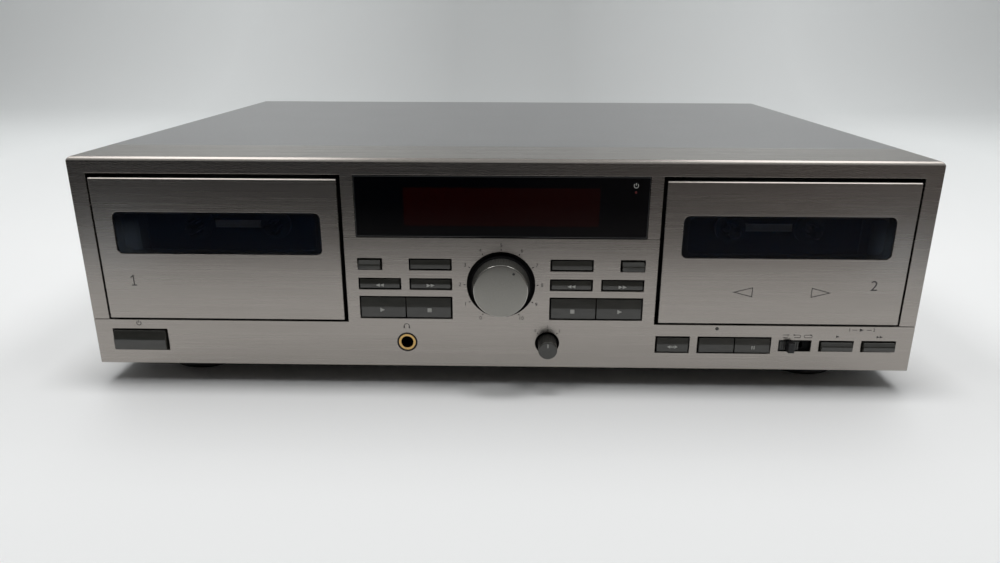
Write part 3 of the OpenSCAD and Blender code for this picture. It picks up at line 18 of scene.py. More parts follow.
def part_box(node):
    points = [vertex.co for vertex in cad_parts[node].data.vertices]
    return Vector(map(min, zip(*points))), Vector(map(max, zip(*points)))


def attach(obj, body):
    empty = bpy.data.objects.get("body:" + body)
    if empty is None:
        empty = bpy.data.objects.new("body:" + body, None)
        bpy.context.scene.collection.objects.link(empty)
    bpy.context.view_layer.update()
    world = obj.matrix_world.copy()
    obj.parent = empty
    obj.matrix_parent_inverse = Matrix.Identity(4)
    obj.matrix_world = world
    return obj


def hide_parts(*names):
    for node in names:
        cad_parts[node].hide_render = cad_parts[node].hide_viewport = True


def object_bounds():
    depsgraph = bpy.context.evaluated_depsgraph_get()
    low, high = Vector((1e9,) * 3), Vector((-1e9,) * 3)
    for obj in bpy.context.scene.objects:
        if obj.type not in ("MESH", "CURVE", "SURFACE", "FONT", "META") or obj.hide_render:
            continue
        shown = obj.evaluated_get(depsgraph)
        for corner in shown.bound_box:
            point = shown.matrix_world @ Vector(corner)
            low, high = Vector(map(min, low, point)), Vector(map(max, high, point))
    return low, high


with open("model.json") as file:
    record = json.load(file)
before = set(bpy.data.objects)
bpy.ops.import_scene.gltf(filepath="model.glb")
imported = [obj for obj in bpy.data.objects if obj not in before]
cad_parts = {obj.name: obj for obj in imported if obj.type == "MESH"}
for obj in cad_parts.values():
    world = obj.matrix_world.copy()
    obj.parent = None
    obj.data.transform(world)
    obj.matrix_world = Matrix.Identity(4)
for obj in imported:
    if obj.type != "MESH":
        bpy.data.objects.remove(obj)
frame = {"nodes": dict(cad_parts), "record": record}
cad_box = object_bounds()
nodes = frame["nodes"]
record = frame["record"]
MM = 0.001
SLOT_OF = {row["node"]: row["material_slot"] for row in record["subparts"]}
BODY_OF = {node: body for body, members in record["behaviour"]["bodies"].items()
           for node in members}

# %% [markdown]
# The front is measured in millimetres from the middle of the case underside: x to the right,
# z up, y inwards from the brushed face. One helper turns such a place into the frame's metres,
# and the two offsets are read from the lower front panel itself.

# %% Places on the front
front_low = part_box("lower_fascia")[0]
FACE_Y = front_low.y / MM
CASE_Z = front_low.z / MM


def at(x, y, z):
    """A place on the front in millimetres, as a point of the frame in metres."""
    return Vector((x, y + FACE_Y, z + CASE_Z)) * MM


print(f"front face at y = {FACE_Y:.1f} mm, case underside at z = {CASE_Z:.1f} mm")

# %% [markdown]
# The camera stands a little above the deck, close in front of it, with a wide lens, so the far
# edge of the cover looks much shorter than the front. Turning the three angles into three
# axes by hand keeps the small roll, which a look-at constraint would lose.

# %% Camera
PHOTO_W = 1000
FOCAL_PX = 746.53
SENSOR_MM = 36
EYE = Vector((0.00596, -0.52341, 0.18249))
YAW, PITCH, ROLL = -0.0176, 0.3229, -0.0034

ahead = Vector((math.sin(YAW) * math.cos(PITCH), math.cos(YAW) * math.cos(PITCH),
                -math.sin(PITCH)))
level = Vector((math.cos(YAW), -math.sin(YAW), 0))
down = ahead.cross(level)
right = level * math.cos(ROLL) + down * math.sin(ROLL)
up = level * math.sin(ROLL) - down * math.cos(ROLL)

lens = bpy.data.cameras.new("photo_view")
lens.sensor_width = SENSOR_MM
lens.lens = FOCAL_PX / PHOTO_W * SENSOR_MM
lens.clip_start = 10 * MM
camera = bpy.data.objects.new("photo_view", lens)
camera.matrix_world = Matrix.Translation(EYE) @ Matrix((right, up, -ahead)).transposed().to_4x4()
bpy.context.collection.objects.link(camera)
bpy.context.scene.camera = camera
print(f"camera: {lens.lens:.1f} mm lens, {math.degrees(PITCH):.1f} degrees down")

# %% [markdown]
# Every finish and every Geometry Nodes tree is wired in code. One small helper adds a node and
# either links or sets each of its inputs, which keeps the later cells down to what matters:
# how large a grain is, how dark, how rough.

# %% Wiring helpers


def put(tree, kind, inputs=(), **settings):
    """Adds a node. An input that is a socket gets linked, any other is set."""
    node = tree.nodes.new(kind)
    for name, value in settings.items():
        setattr(node, name, value)
    for key, value in dict(inputs).items():
        if isinstance(value, bpy.types.NodeSocket):
            tree.links.new(value, node.inputs[key])
        else:
            node.inputs[key].default_value = value
    return node


def maths(tree, operation, *values):
    """One Math node's result."""
    return put(tree, "ShaderNodeMath", dict(enumerate(values)), operation=operation).outputs[0]


def remap(tree, value, low=0, high=1, to_low=0, to_high=1):
    """One Map Range node's result: low becomes to_low, high becomes to_high."""
    ends = {"From Min": low, "From Max": high, "To Min": to_low, "To Max": to_high}
    return put(tree, "ShaderNodeMapRange", {"Value": value, **ends}).outputs[0]


def blend(tree, share, first, second):
    """A colour between two others."""
    inputs = {"Fac": share, "Color1": first, "Color2": second}
    return put(tree, "ShaderNodeMixRGB", inputs).outputs[0]


print("nodes are wired by put, maths, remap and blend")

# %% Finish helpers
RAMP_STOPS = (0.3, 0.7)


def new_finish(name, **sockets):
    """A finish whose even values sit on the shader's own sockets."""
    finish = bpy.data.materials.new(name)
    finish.use_nodes = True
    shader = finish.node_tree.nodes["Principled BSDF"]
    for label, value in sockets.items():
        shader.inputs[label.replace("_", " ")].default_value = value
    return finish


def own_place(finish):
    """The x, y and z of a point in its object's own frame, in metres."""
    tree = finish.node_tree
    place = put(tree, "ShaderNodeTexCoord").outputs["Object"]
    return put(tree, "ShaderNodeSeparateXYZ", {0: place}).outputs


def grain(finish, size, detail=2.0):
    """Noise with grains of size millimetres: one number, or three along x, y and z."""
    tree = finish.node_tree
    sizes = size if isinstance(size, tuple) else (size, size, size)
    place = put(tree, "ShaderNodeTexCoord").outputs["Object"]
    scaled = put(tree, "ShaderNodeMapping",
                 {"Vector": place, "Scale": [1 / (MM * s) for s in sizes]})
    noise = put(tree, "ShaderNodeTexNoise",
                {"Vector": scaled.outputs[0], "Scale": 1.0, "Detail": detail})
    return noise.outputs["Fac"]


def colour_by(finish, pattern, dark, light):
    """Base colour that runs from dark to light over the middle of a pattern."""
    tree = finish.node_tree
    ramp = put(tree, "ShaderNodeValToRGB", {"Fac": pattern})
    for stop, place, colour in zip(ramp.color_ramp.elements, RAMP_STOPS, (dark, light)):
        stop.position = place
        stop.color = (*colour, 1)
    tree.links.new(ramp.outputs["Color"], tree.nodes["Principled BSDF"].inputs["Base Color"])


def rough_by(finish, pattern, smooth, rough):
    """Roughness between two values, following a pattern."""
    tree = finish.node_tree
    spread = remap(tree, pattern, to_low=smooth, to_high=rough)
    tree.links.new(spread, tree.nodes["Principled BSDF"].inputs["Roughness"])


def relief_by(finish, pattern, height, strength):
    """Fine relief, height in millimetres."""
    tree = finish.node_tree
    bump = put(tree, "ShaderNodeBump",
               {"Height": pattern, "Distance": height * MM, "Strength": strength})
    tree.links.new(bump.outputs[0], tree.nodes["Principled BSDF"].inputs["Normal"])


def grained(name, size, dark, light, rough, relief=None, **sockets):
    """A finish whose one grain drives its colour, its roughness and, where given, its relief."""
    finish = new_finish(name, **sockets)
    pattern = grain(finish, size)
    colour_by(finish, pattern, dark, light)
    rough_by(finish, pattern, *rough)
    if relief:
        relief_by(finish, pattern, *relief)
    return finish


print("a finish is made from grain, colour, roughness and relief")

# %% [markdown]
# The front and the doors are sheet metal brushed from side to side and lacquered. On the real
# sheet each scratch is long and hair-fine, so the noise is stretched to 140 mm along x and kept
# under half a millimetre across. The same scratches drive colour, roughness and relief, because
# that is what a scratch does: it scatters light. A second, much larger pattern keeps the sheet
# from looking printed.

# %% Brushed metal
satin = new_finish("brushed_satin_metal", Metallic=0.95)
scratches = grain(satin, (140, 0.35, 0.35), detail=3)
clouds = grain(satin, (70, 40, 9))
both = maths(satin.node_tree, "ADD", maths(satin.node_tree, "MULTIPLY", scratches, 0.7),
             maths(satin.node_tree, "MULTIPLY", clouds, 0.3))
colour_by(satin, both, (0.336, 0.31, 0.285), (0.388, 0.359, 0.332))
rough_by(satin, scratches, 0.23, 0.3)
relief_by(satin, scratches, 0.008, 0.2)
print("brushed metal for the front and the doors")

# %% [markdown]
# The cover is steel with a satin grey paint. Up close a sprayed paint has a faint orange peel,
# which shows mostly in its reflections, so it goes into the relief and only a little into the
# colour. The black inner frame and the feet are moulded with a fine spark-eroded texture. The
# frame is also painted blacker and duller than the other black mouldings: painted shade in the
# gaps round the keys and doors.

# %% Paint and black plastics
cover_paint = new_finish("satin_cover_paint", Metallic=0.55)
peel = grain(cover_paint, 1.6)
colour_by(cover_paint, grain(cover_paint, 60), (0.258, 0.258, 0.261), (0.272, 0.272, 0.275))
rough_by(cover_paint, peel, 0.3, 0.38)
relief_by(cover_paint, peel, 0.03, 0.25)

key_plastic = new_finish("key_moulding", Specular_IOR_Level=0.75)
spark = grain(key_plastic, 0.25)
colour_by(key_plastic, grain(key_plastic, (9, 9, 2)), (0.034, 0.033, 0.028), (0.043, 0.042, 0.036))
rough_by(key_plastic, spark, 0.2, 0.28)
relief_by(key_plastic, spark, 0.008, 0.2)

black_plastic = grained("black_moulding", 0.35, (0.006, 0.006, 0.007), (0.011, 0.011, 0.012),
                        rough=(0.45, 0.6), relief=(0.03, 0.3))
foot_plastic = grained("foot_moulding", 0.5, (0.012, 0.012, 0.012), (0.022, 0.022, 0.021),
                       rough=(0.55, 0.75), relief=(0.05, 0.4))
# Near-black and dull: the frame's own black, made darker still as painted shade for the gaps where
# it shows.
frame_black_and_shade = grained("frame_moulding", 0.35, (0.002, 0.002, 0.0022), (0.004, 0.004, 0.0044),
                      rough=(0.55, 0.7), Specular_IOR_Level=0.12)
print("paint, keys and black mouldings")

# %% [markdown]
# The knob's face is turned metal with a fine satin grain, its grip the same dark plastic as the
# keys. The socket's bush is brass, the sockets behind are plated.

# %% Turned metals
knob_face = grained("knob_face_satin", 0.25, (0.258, 0.251, 0.23), (0.303, 0.295, 0.272),
                    rough=(0.25, 0.35), relief=(0.005, 0.2), Metallic=0.9)
knob_rim = grained("knob_rim_polished", 0.5, (0.4, 0.39, 0.36), (0.48, 0.47, 0.44),
                   rough=(0.1, 0.16), Metallic=1.0)
brass = grained("socket_brass", 0.4, (0.56, 0.36, 0.13), (0.7, 0.47, 0.19),
                rough=(0.2, 0.34), Metallic=1.0)
plated = grained("plated_socket", (4, 0.3, 4), (0.62, 0.61, 0.59), (0.68, 0.67, 0.65),
                 rough=(0.18, 0.24), Metallic=1.0)
steel = grained("machined_steel", (0.4, 6, 0.4), (0.33, 0.33, 0.33), (0.48, 0.48, 0.47),
                rough=(0.22, 0.4), Metallic=1.0)
screw_steel = grained("blackened_screw", 0.5, (0.035, 0.035, 0.038), (0.065, 0.065, 0.068),
                      rough=(0.35, 0.5), Metallic=0.7)
zinc = new_finish("zinc_plated_sheet", Metallic=0.9)
spangle = grain(zinc, 9, detail=4)
colour_by(zinc, spangle, (0.337, 0.337, 0.327), (0.357, 0.357, 0.344))
rough_by(zinc, grain(zinc, 1.5), 0.32, 0.42)
print("turned and plated metals")

# %% [markdown]
# The door panes are smoked acrylic. Acrylic that dark could be refracting glass, but then the
# lamps reach the inside only by rare paths and the mechanism turns to noise. An almost opaque
# gloss surface with an alpha lets the pale bar behind it show faintly, as on the real deck.
# The display pane is one sheet too: black at the edges and a deep red filter in the middle,
# which is placed by the pane's own coordinates.

# %% Panes
FILTER_EDGE = 1.2
door_pane = grained("smoked_pane", 30, (0.0005, 0.003, 0.011), (0.001, 0.005, 0.016),
                    rough=(0.05, 0.09), IOR=1.49, Alpha=0.42)

display_pane = new_finish("display_pane", IOR=1.49)
tree = display_pane.node_tree
tube_low, tube_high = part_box("display_tube")
place = own_place(display_pane)
inside = 1.0
for axis in (0, 2):
    middle = (tube_low[axis] + tube_high[axis]) / 2
    half = (tube_high[axis] - tube_low[axis]) / 2
    off = maths(tree, "ABSOLUTE", maths(tree, "SUBTRACT", place[axis], middle))
    inside = maths(tree, "MULTIPLY", remap(tree, off, half, half - FILTER_EDGE * MM), inside)
filter_grain = maths(tree, "MULTIPLY", inside, maths(tree, "ADD", grain(display_pane, 6), 0.4))
colour_by(display_pane, filter_grain, (0.0004, 0.0006, 0.0014), (0.011, 0.0001, 0.0001))
rough_by(display_pane, grain(display_pane, 25), 0.05, 0.08)
print("smoked panes and the display's red filter")

# %% [markdown]
# What sits behind the panes and under the cover still gets a finish with its own grain, because
# the doors open and the case can be looked into: tinned boards, iron plates, rubber belts.

# %% Inner finishes
tube_glass = grained("tube_glass", 5, (0.02, 0.03, 0.03), (0.04, 0.05, 0.05), rough=(0.07, 0.23))
belt_rubber = grained("belt_rubber", 1, (0.012, 0.012, 0.012), (0.024, 0.023, 0.022),
                      rough=(0.62, 0.78))
laminate = grained("board_laminate", 3, (0.17, 0.1, 0.04), (0.25, 0.16, 0.07), rough=(0.42, 0.58))
iron_core = grained("iron_core", (40, 0.5, 40), (0.09, 0.085, 0.08), (0.2, 0.19, 0.18),
                    rough=(0.42, 0.58), Metallic=0.7)
reel_plastic = grained("reel_moulding", 1, (0.02, 0.02, 0.02), (0.035, 0.035, 0.034),
                       rough=(0.37, 0.53))
bar_plastic = grained("pale_bar", 2, (0.68, 0.66, 0.63), (0.8, 0.78, 0.75), rough=(0.32, 0.48))
motor_can = grained("motor_can", (6, 0.4, 6), (0.3, 0.3, 0.3), (0.45, 0.45, 0.44),
                    rough=(0.27, 0.43), Metallic=0.9)
blackened_plate = grained("blackened_plate", 3, (0.012, 0.012, 0.013), (0.02, 0.02, 0.021),
                          rough=(0.47, 0.63), Metallic=0.3)
# A dark paint for the underside instead of plated sheet, made dark as painted shade: it deepens
# the shadow under the deck.
underside_paint = grained("underside_paint", 2, (0.05, 0.05, 0.052), (0.07, 0.07, 0.072),
                          rough=(0.42, 0.58), Metallic=0.3)
FINISH_OF_SLOT = {
    "satin_metal": satin,
    "cover_paint": cover_paint,
    "black_plastic": black_plastic,
    "key_plastic": key_plastic,
    "knob_face": knob_face,
    "door_glass": door_pane,
    "display_glass": display_pane,
    "zinc_sheet": zinc,
    "machine_steel": steel,
    "plated_socket": plated,
    "brass": brass,
    "foot_plastic": foot_plastic,
    "screw_steel": screw_steel,
    "tube_glass": tube_glass,
    "belt_rubber": belt_rubber,
    "board": laminate,
    "iron_core": iron_core,
    "reel_plastic": reel_plastic,
    "bar_plastic": bar_plastic,
    "motor_can": motor_can,
}
FINISH_OF_NODE = {
    "mechanism_plates": blackened_plate,
    # the underside's dark paint is also painted shade under the deck
    "bottom_chassis": underside_paint,
    # the frame's near-black is also painted shade in the gaps
    "fascia_frame": frame_black_and_shade,
}
for name, node in nodes.items():
    node.data.materials.clear()
    node.data.materials.append(FINISH_OF_NODE.get(name) or FINISH_OF_SLOT[SLOT_OF[name]])
print(len(FINISH_OF_SLOT), "finishes on", len(nodes), "solids")

# %% [markdown]
# Every piece is made by the same few moves: a mesh becomes an object at the origin, modifiers are
# turned into plain mesh, one shape is cut out of another, and the finished piece is tied to the
# body that moves it. Each move is one helper.

# %% Piece helpers
TOUCH, NEAR = 1e-6, 1e-5


def plain_mesh(piece):
    """Turns a piece and its modifiers into one plain mesh."""
    view = bpy.context.evaluated_depsgraph_get()
    made = bpy.data.meshes.new_from_object(piece.evaluated_get(view))
    piece.modifiers.clear()
    piece.data = made
    return piece


def new_piece(name, mesh):
    """An object at the origin, with its place in its mesh."""
    piece = bpy.data.objects.new(name, mesh)
    bpy.context.collection.objects.link(piece)
    return piece


def piece_from(bm, name, *finishes):
    """A new piece from a finished bmesh."""
    mesh = bpy.data.meshes.new(name)
    bm.to_mesh(mesh)
    bm.free()
    for finish in finishes:
        mesh.materials.append(finish)
    return new_piece(name, mesh)


def cut(piece, cutter):
    """Cuts a shape out of a piece, and removes the cutter."""
    taken = piece.modifiers.new("cut", "BOOLEAN")
    taken.operation = "DIFFERENCE"
    taken.solver = "EXACT"
    taken.material_mode = "TRANSFER"
    taken.object = cutter
    plain_mesh(piece)
    bpy.data.objects.remove(cutter)


def flat_faces(piece):
    """Weighted normals: large faces stay flat in the light."""
    piece.modifiers.new("flat_faces", "WEIGHTED_NORMAL").keep_sharp = True
    return plain_mesh(piece)


def dress(piece, body, slot, *replaced):
    """Lets a piece move with a body, and stand for the solids that it replaces."""
    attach(piece, body)
    if replaced:
        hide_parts(*replaced)


print(f"points closer than {TOUCH} m count as one")

# %% [markdown]
# Nothing made of sheet or plastic has a knife edge. The solids do, so each outer piece is
# copied, its loose triangles are merged back into whole faces, and a narrow bevel breaks every
# edge sharper than 25 degrees. Weighted normals then keep the large faces flat in the light and
# put all the curvature into the bevel, which is where the thin bright edge lines come from.

# %% Softening helpers
FLAT, SHARP = math.radians(0.6), math.radians(25)
CLAMPED = {"feet"}


def softened(node, edge, rounded=None):
    """A copy of a solid with its edges broken by edge millimetres.

    rounded is (y, z, width, steps): the long edges along x at that place are broken first, and
    wider.
    """
    mesh = nodes[node].data.copy()
    for layer in ("custom_normal", "sharp_edge", "sharp_face"):
        if layer in mesh.attributes:
            mesh.attributes.remove(mesh.attributes[layer])
    bm = bmesh.new()
    bm.from_mesh(mesh)
    bmesh.ops.remove_doubles(bm, verts=bm.verts, dist=TOUCH)
    bmesh.ops.dissolve_limit(bm, angle_limit=FLAT, verts=bm.verts, edges=bm.edges)
    if rounded:
        y, z, width, steps = rounded
        long_edges = [e for e in bm.edges
                      if all(math.hypot(v.co.y - y, v.co.z - z) < NEAR for v in e.verts)]
        bmesh.ops.bevel(bm, geom=long_edges, offset=width * MM, segments=steps, profile=0.5,
                        affect="EDGES", clamp_overlap=True)
    for face in bm.faces:
        face.smooth = True
    bm.to_mesh(mesh)
    bm.free()
    piece = new_piece(node + "_soft", mesh)
    bevel = piece.modifiers.new("broken_edge", "BEVEL")
    bevel.width = edge * MM
    bevel.segments = 2
    bevel.limit_method = "ANGLE"
    bevel.angle_limit = SHARP
    bevel.use_clamp_overlap = node in CLAMPED
    return flat_faces(piece)


def even_triangles(piece):
    """Splits many-sided faces evenly, so that no sliver between two holes folds over."""
    split = piece.modifiers.new("even_triangles", "TRIANGULATE")
    split.min_vertices = 5
    split.ngon_method = "BEAUTY"
    split.keep_custom_normals = True
    return plain_mesh(piece)


print(f"edges sharper than {math.degrees(SHARP):.0f} degrees are broken")

# %% The outer solids, softened
KEY_EDGE, CREASE_UP, CREASE_W, CREASE_STEPS = 0.22, 0.3, 0.5, 3
KEY_NODES = [name for name in nodes if name.endswith("_key")]
EDGE_OF = {
    "top_cover": 0.4,
    "upper_fascia": 0.25,
    "lower_fascia": 0.2,
    "fascia_frame": 0.12,
    "door_panel_a": 0.2,
    "door_panel_b": 0.2,
    "door_window_a": 0.25,
    "door_window_b": 0.25,
    "display_window": 0.7,
    "reverse_lever": 0.15,
    "rear_panel": 0.15,
    "line_jack_block": 0.25,
    "mains_gland": 0.25,
    "feet": 0.3,
}
EDGE_OF.update({key: KEY_EDGE for key in KEY_NODES})
ROUND_OF = {}
for key in KEY_NODES:
    low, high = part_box(key)
    ROUND_OF[key] = (low.y, (low.z + high.z) / 2 + CREASE_UP * MM, CREASE_W, CREASE_STEPS)
soft = {}
for node, edge in EDGE_OF.items():
    soft[node] = even_triangles(softened(node, edge, ROUND_OF.get(node)))
    dress(soft[node], BODY_OF[node], SLOT_OF[node], node)
print(len(soft), "softened pieces,", sum(len(p.data.polygons) for p in soft.values()), "faces")

# %% [markdown]
# ## The two knobs
# Both knobs have a grip of fine flutes. The rule is simple, so Geometry Nodes make it: a flat
# grid is wrapped into a tube, and a cosine with one wave per flute presses the grooves in, fading
# out before both ends. Modelling one flute and arraying it would leave seams. The same tree makes
# the large level knob, which flares towards the panel, and the small straight one.

# %% Tree helpers


def new_tree(name, inputs):
    """An empty Geometry Nodes tree with named inputs; returns it and its input sockets."""
    tree = bpy.data.node_groups.new(name, "GeometryNodeTree")
    tree.is_modifier = True
    tree.interface.new_socket("Made", in_out="OUTPUT", socket_type="NodeSocketGeometry")
    for label, kind in inputs:
        tree.interface.new_socket(label, in_out="INPUT", socket_type="NodeSocket" + kind)
    return tree, put(tree, "NodeGroupInput").outputs


def end_tree(tree, made, finish):
    """Realize Instances and Set Material close every tree."""
    real = put(tree, "GeometryNodeRealizeInstances", {"Geometry": made}).outputs[0]
    dressed = put(tree, "GeometryNodeSetMaterial", {"Geometry": real, "Material": finish})
    put(tree, "NodeGroupOutput", {0: dressed.outputs[0]})


def on_circle(tree, turn, radius, given):
    """X and Z of a place on a circle round a tree's own axis."""
    return [maths(tree, "ADD", given["Axis " + axis],
                  maths(tree, "MULTIPLY", radius, maths(tree, way, turn)))
            for axis, way in (("X", "SINE"), ("Z", "COSINE"))]


def run_tree(name, tree, base=None, **values):
    """A new piece made by a tree, its inputs set by the sockets' identifiers."""
    piece = new_piece(name, base or bpy.data.meshes.new(name))
    made = piece.modifiers.new("rule", "NODES")
    made.node_group = tree
    for socket in tree.interface.items_tree:
        if socket.in_out == "INPUT" and socket.socket_type != "NodeSocketGeometry":
            made[socket.identifier] = values[socket.name.replace(" ", "_").lower()]
    plain_mesh(piece)
    if piece.data.materials[0] is None:
        piece.data.materials.pop(index=0)
    return piece


print("a tree starts with named inputs and ends with a finish")

# %% Fluted grip tree
GRIP_INPUTS = (
    ("Flutes", "Int"),
    ("Steps", "Int"),
    ("Rows", "Int"),
    ("Front Radius", "Float"),
    ("Back Radius", "Float"),
    ("Front Depth", "Float"),
    ("Back Depth", "Float"),
    ("Flute Depth", "Float"),
    ("Axis X", "Float"),
    ("Axis Z", "Float"),
    ("Finish", "Material"),
)
GROOVE_EDGE = 0.1
FADE = 0.07

grip_tree, given = new_tree("fluted_grip", GRIP_INPUTS)
columns = maths(grip_tree, "ADD", maths(grip_tree, "MULTIPLY", given["Flutes"], given["Steps"]), 1)
grid = put(grip_tree, "GeometryNodeMeshGrid",
           {"Size X": 1.0, "Size Y": 1.0, "Vertices X": columns, "Vertices Y": given["Rows"]})
spot = put(grip_tree, "GeometryNodeInputPosition").outputs[0]
flat = put(grip_tree, "ShaderNodeSeparateXYZ", {0: spot}).outputs
turn = maths(grip_tree, "MULTIPLY", maths(grip_tree, "ADD", flat["X"], 0.5), 2 * math.pi)
run = maths(grip_tree, "ADD", flat["Y"], 0.5)
wave = maths(grip_tree, "COSINE", maths(grip_tree, "MULTIPLY", turn, given["Flutes"]))
groove = maths(grip_tree, "MAXIMUM", maths(grip_tree, "SUBTRACT", wave, GROOVE_EDGE), 0.0)
to_end = maths(grip_tree, "SUBTRACT", 0.5, maths(grip_tree, "ABSOLUTE", flat["Y"]))
fade = remap(grip_tree, to_end, high=FADE)
groove = maths(grip_tree, "MULTIPLY", groove, fade)
sunk = maths(grip_tree, "MULTIPLY", groove, given["Flute Depth"])
body_r, depth = (
    remap(grip_tree, run, to_low=given["Back " + size], to_high=given["Front " + size])
    for size in ("Radius", "Depth"))
x, z = on_circle(grip_tree, turn, maths(grip_tree, "SUBTRACT", body_r, sunk), given)
wrapped = put(grip_tree, "ShaderNodeCombineXYZ", {"X": x, "Y": depth, "Z": z})
tube = put(grip_tree, "GeometryNodeSetPosition",
           {"Geometry": grid.outputs["Mesh"], "Position": wrapped.outputs[0]})
sewn = put(grip_tree, "GeometryNodeMergeByDistance",
           {"Geometry": tube.outputs[0], "Distance": TOUCH})
outward = put(grip_tree, "GeometryNodeFlipFaces", {"Mesh": sewn.outputs[0]})
end_tree(grip_tree, outward.outputs[0], given["Finish"])
print("fluted grip tree:", len(grip_tree.nodes), "nodes")

# %% [markdown]
# The rest of a knob is a turning, so its rings are drawn on from the grip's two open ends: in
# front the broken rim and the face, slightly domed on the large knob and dished on the small one,
# and behind the plain foot ring and the shaft. Each ring says which finish its faces get. A small
# ball cuts the index dimple.

# %% Turning helpers
FLUTE_STEPS, GRIP_ROWS = 8, 14


def turn_on(bm, edges, rings, middle):
    """Draws an open end on through rings of (radius, depth, finish), and closes it at a pole.

    Corners and faces are made one by one in the order of the edges, so that every run draws the
    same mesh, and each face winds the same way as its neighbour.
    """
    pairs = []
    for edge in edges:
        a, b = edge.verts
        runs_on = edge.is_boundary and edge.link_loops[0].vert == b
        pairs.append((a, b) if runs_on else (b, a))
    for ring_r, ring_y, finish_index in rings:
        drawn = {}
        for corner in (corner for pair in pairs for corner in pair):
            if corner not in drawn:
                out = Vector((corner.co.x - middle.x, 0, corner.co.z - middle.z))
                out = out.normalized() * ring_r
                drawn[corner] = bm.verts.new((middle.x + out.x, ring_y, middle.z + out.z))
        for a, b in pairs:
            bm.faces.new((a, b, drawn[b], drawn[a])).material_index = finish_index
        pairs = [(drawn[a], drawn[b]) for a, b in pairs]
    pole = bm.verts.new((middle.x, rings[-1][1], middle.z))
    for a, b in pairs:
        bm.faces.new((a, b, pole)).material_index = finish_index


def open_end(bm, depth):
    """The boundary edges of the grip at one depth."""
    return [e for e in bm.edges
            if e.is_boundary and all(abs(v.co.y - depth) < NEAR for v in e.verts)]


def knob(node, finishes, flutes, flute_depth, grip, front, back):
    """A knob on its node's own axis: grip is ((radius, depth) front, (radius, depth) back)."""
    low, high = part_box(node)
    middle = (low + high) / 2
    (front_r, front_y), (back_r, back_y) = grip
    piece = run_tree(
        node + "_turned", grip_tree, flutes=flutes, steps=FLUTE_STEPS, rows=GRIP_ROWS,
        front_radius=front_r * MM, back_radius=back_r * MM, flute_depth=flute_depth * MM,
        front_depth=at(0, front_y, 0).y, back_depth=at(0, back_y, 0).y,
        axis_x=middle.x, axis_z=middle.z, finish=finishes[0])
    bm = bmesh.new()
    bm.from_mesh(piece.data)
    for rings, end in ((front, front_y), (back, back_y)):
        placed = [(r * MM, at(0, y, 0).y, finish) for r, y, finish in rings]
        turn_on(bm, open_end(bm, at(0, end, 0).y), placed, middle)
    bmesh.ops.recalc_face_normals(bm, faces=bm.faces)
    for face in bm.faces:
        face.smooth = True
    bm.to_mesh(piece.data)
    bm.free()
    for finish in finishes[1:]:
        piece.data.materials.append(finish)
    return piece, middle


print("each flute is drawn in", FLUTE_STEPS, "steps round and", GRIP_ROWS, "rows along")

# %% The level knob
grip_plastic = grained("grip_moulding", 0.3, (0.044, 0.043, 0.039), (0.058, 0.057, 0.052),
                       rough=(0.3, 0.4))
# A dark finish for the index dimple's walls: painted shade in the hollow.
dimple_paint = grained("dimple_paint", 0.3, (0.012, 0.012, 0.012), (0.025, 0.025, 0.024),
                       rough=(0.5, 0.65))
GRIP, FACE, RIM, RING = range(4)
LEVEL_FLUTES, LEVEL_FLUTE_DEPTH = 60, 0.34
level_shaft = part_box("level_knob")[1].y / MM - FACE_Y
# The knob's foot ring takes the frame's near-black: painted shade in the well round the knob.
level_knob, level_middle = knob(
    "level_knob", (grip_plastic, knob_face, knob_rim, frame_black_and_shade),
    LEVEL_FLUTES, LEVEL_FLUTE_DEPTH,
    grip=((13.95, -10.1), (15.0, -2.2)),
    front=[(13.93, -10.35, RIM), (13.8, -10.52, RIM), (13.58, -10.6, RIM), (13.3, -10.62, FACE),
           (11, -10.69, FACE), (8, -10.745, FACE), (4, -10.79, FACE), (2, -10.8, FACE)],
    back=[(14.85, -2.0, RING), (14.7, -1.85, RING), (14.8, -1.7, RING), (15.45, -1.6, RING),
          (15.6, -1.45, RING), (15.8, -0.4, RING), (15.8, 1.2, RING), (3, 1.2, GRIP),
          (3, level_shaft, GRIP)],
)
INDEX_R, INDEX_TURN, INDEX_FACE_Y = 11.4, math.radians(35), -10.68
BALL_R, BALL_OUT = 1.2, 0.98
index_place = level_middle + Vector((math.sin(INDEX_TURN), 0, math.cos(INDEX_TURN))) * INDEX_R * MM
index_place.y = at(0, INDEX_FACE_Y - BALL_OUT, 0).y
ball = bmesh.new()
bmesh.ops.create_uvsphere(ball, u_segments=32, v_segments=16, radius=BALL_R * MM)
bmesh.ops.translate(ball, verts=ball.verts, vec=index_place)
# The ball leaves its dark finish on the dimple's walls, as painted shade in the hollow.
cut(level_knob, piece_from(ball, "index_ball", dimple_paint))
dress(flat_faces(level_knob), "level_knob", "knob_face", "level_knob")
print("level knob:", len(level_knob.data.polygons), "faces")

# %% The small knob
NR_FLUTES, NR_FLUTE_DEPTH, CAP = 24, 0.26, 1
nr_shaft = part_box("nr_knob")[1].y / MM - FACE_Y
nr_knob, nr_middle = knob(
    "nr_knob", (grip_plastic, key_plastic), NR_FLUTES, NR_FLUTE_DEPTH,
    grip=((4.95, -8.6), (4.95, 0)),
    front=[(4.95, -9.6, CAP), (4.8, -9.95, CAP), (4.4, -10.2, CAP), (4.2, -10.2, CAP),
           (2, -10.17, CAP)],
    back=[(4.95, 1.2, GRIP), (2, 1.2, GRIP), (2, nr_shaft, GRIP)],
)
dress(flat_faces(nr_knob), "nr_knob", "key_plastic", "nr_knob")
print("small knob:", len(nr_knob.data.polygons), "faces")

# %% [markdown]
# The headphone socket is one node of two solids, a black body and a brass bush. A softened copy
# keeps both, and a face gets the brass where all its corners lie within the bush's own radius and
# length. The corners are asked, because the middle of a ring-shaped face is not on the face.

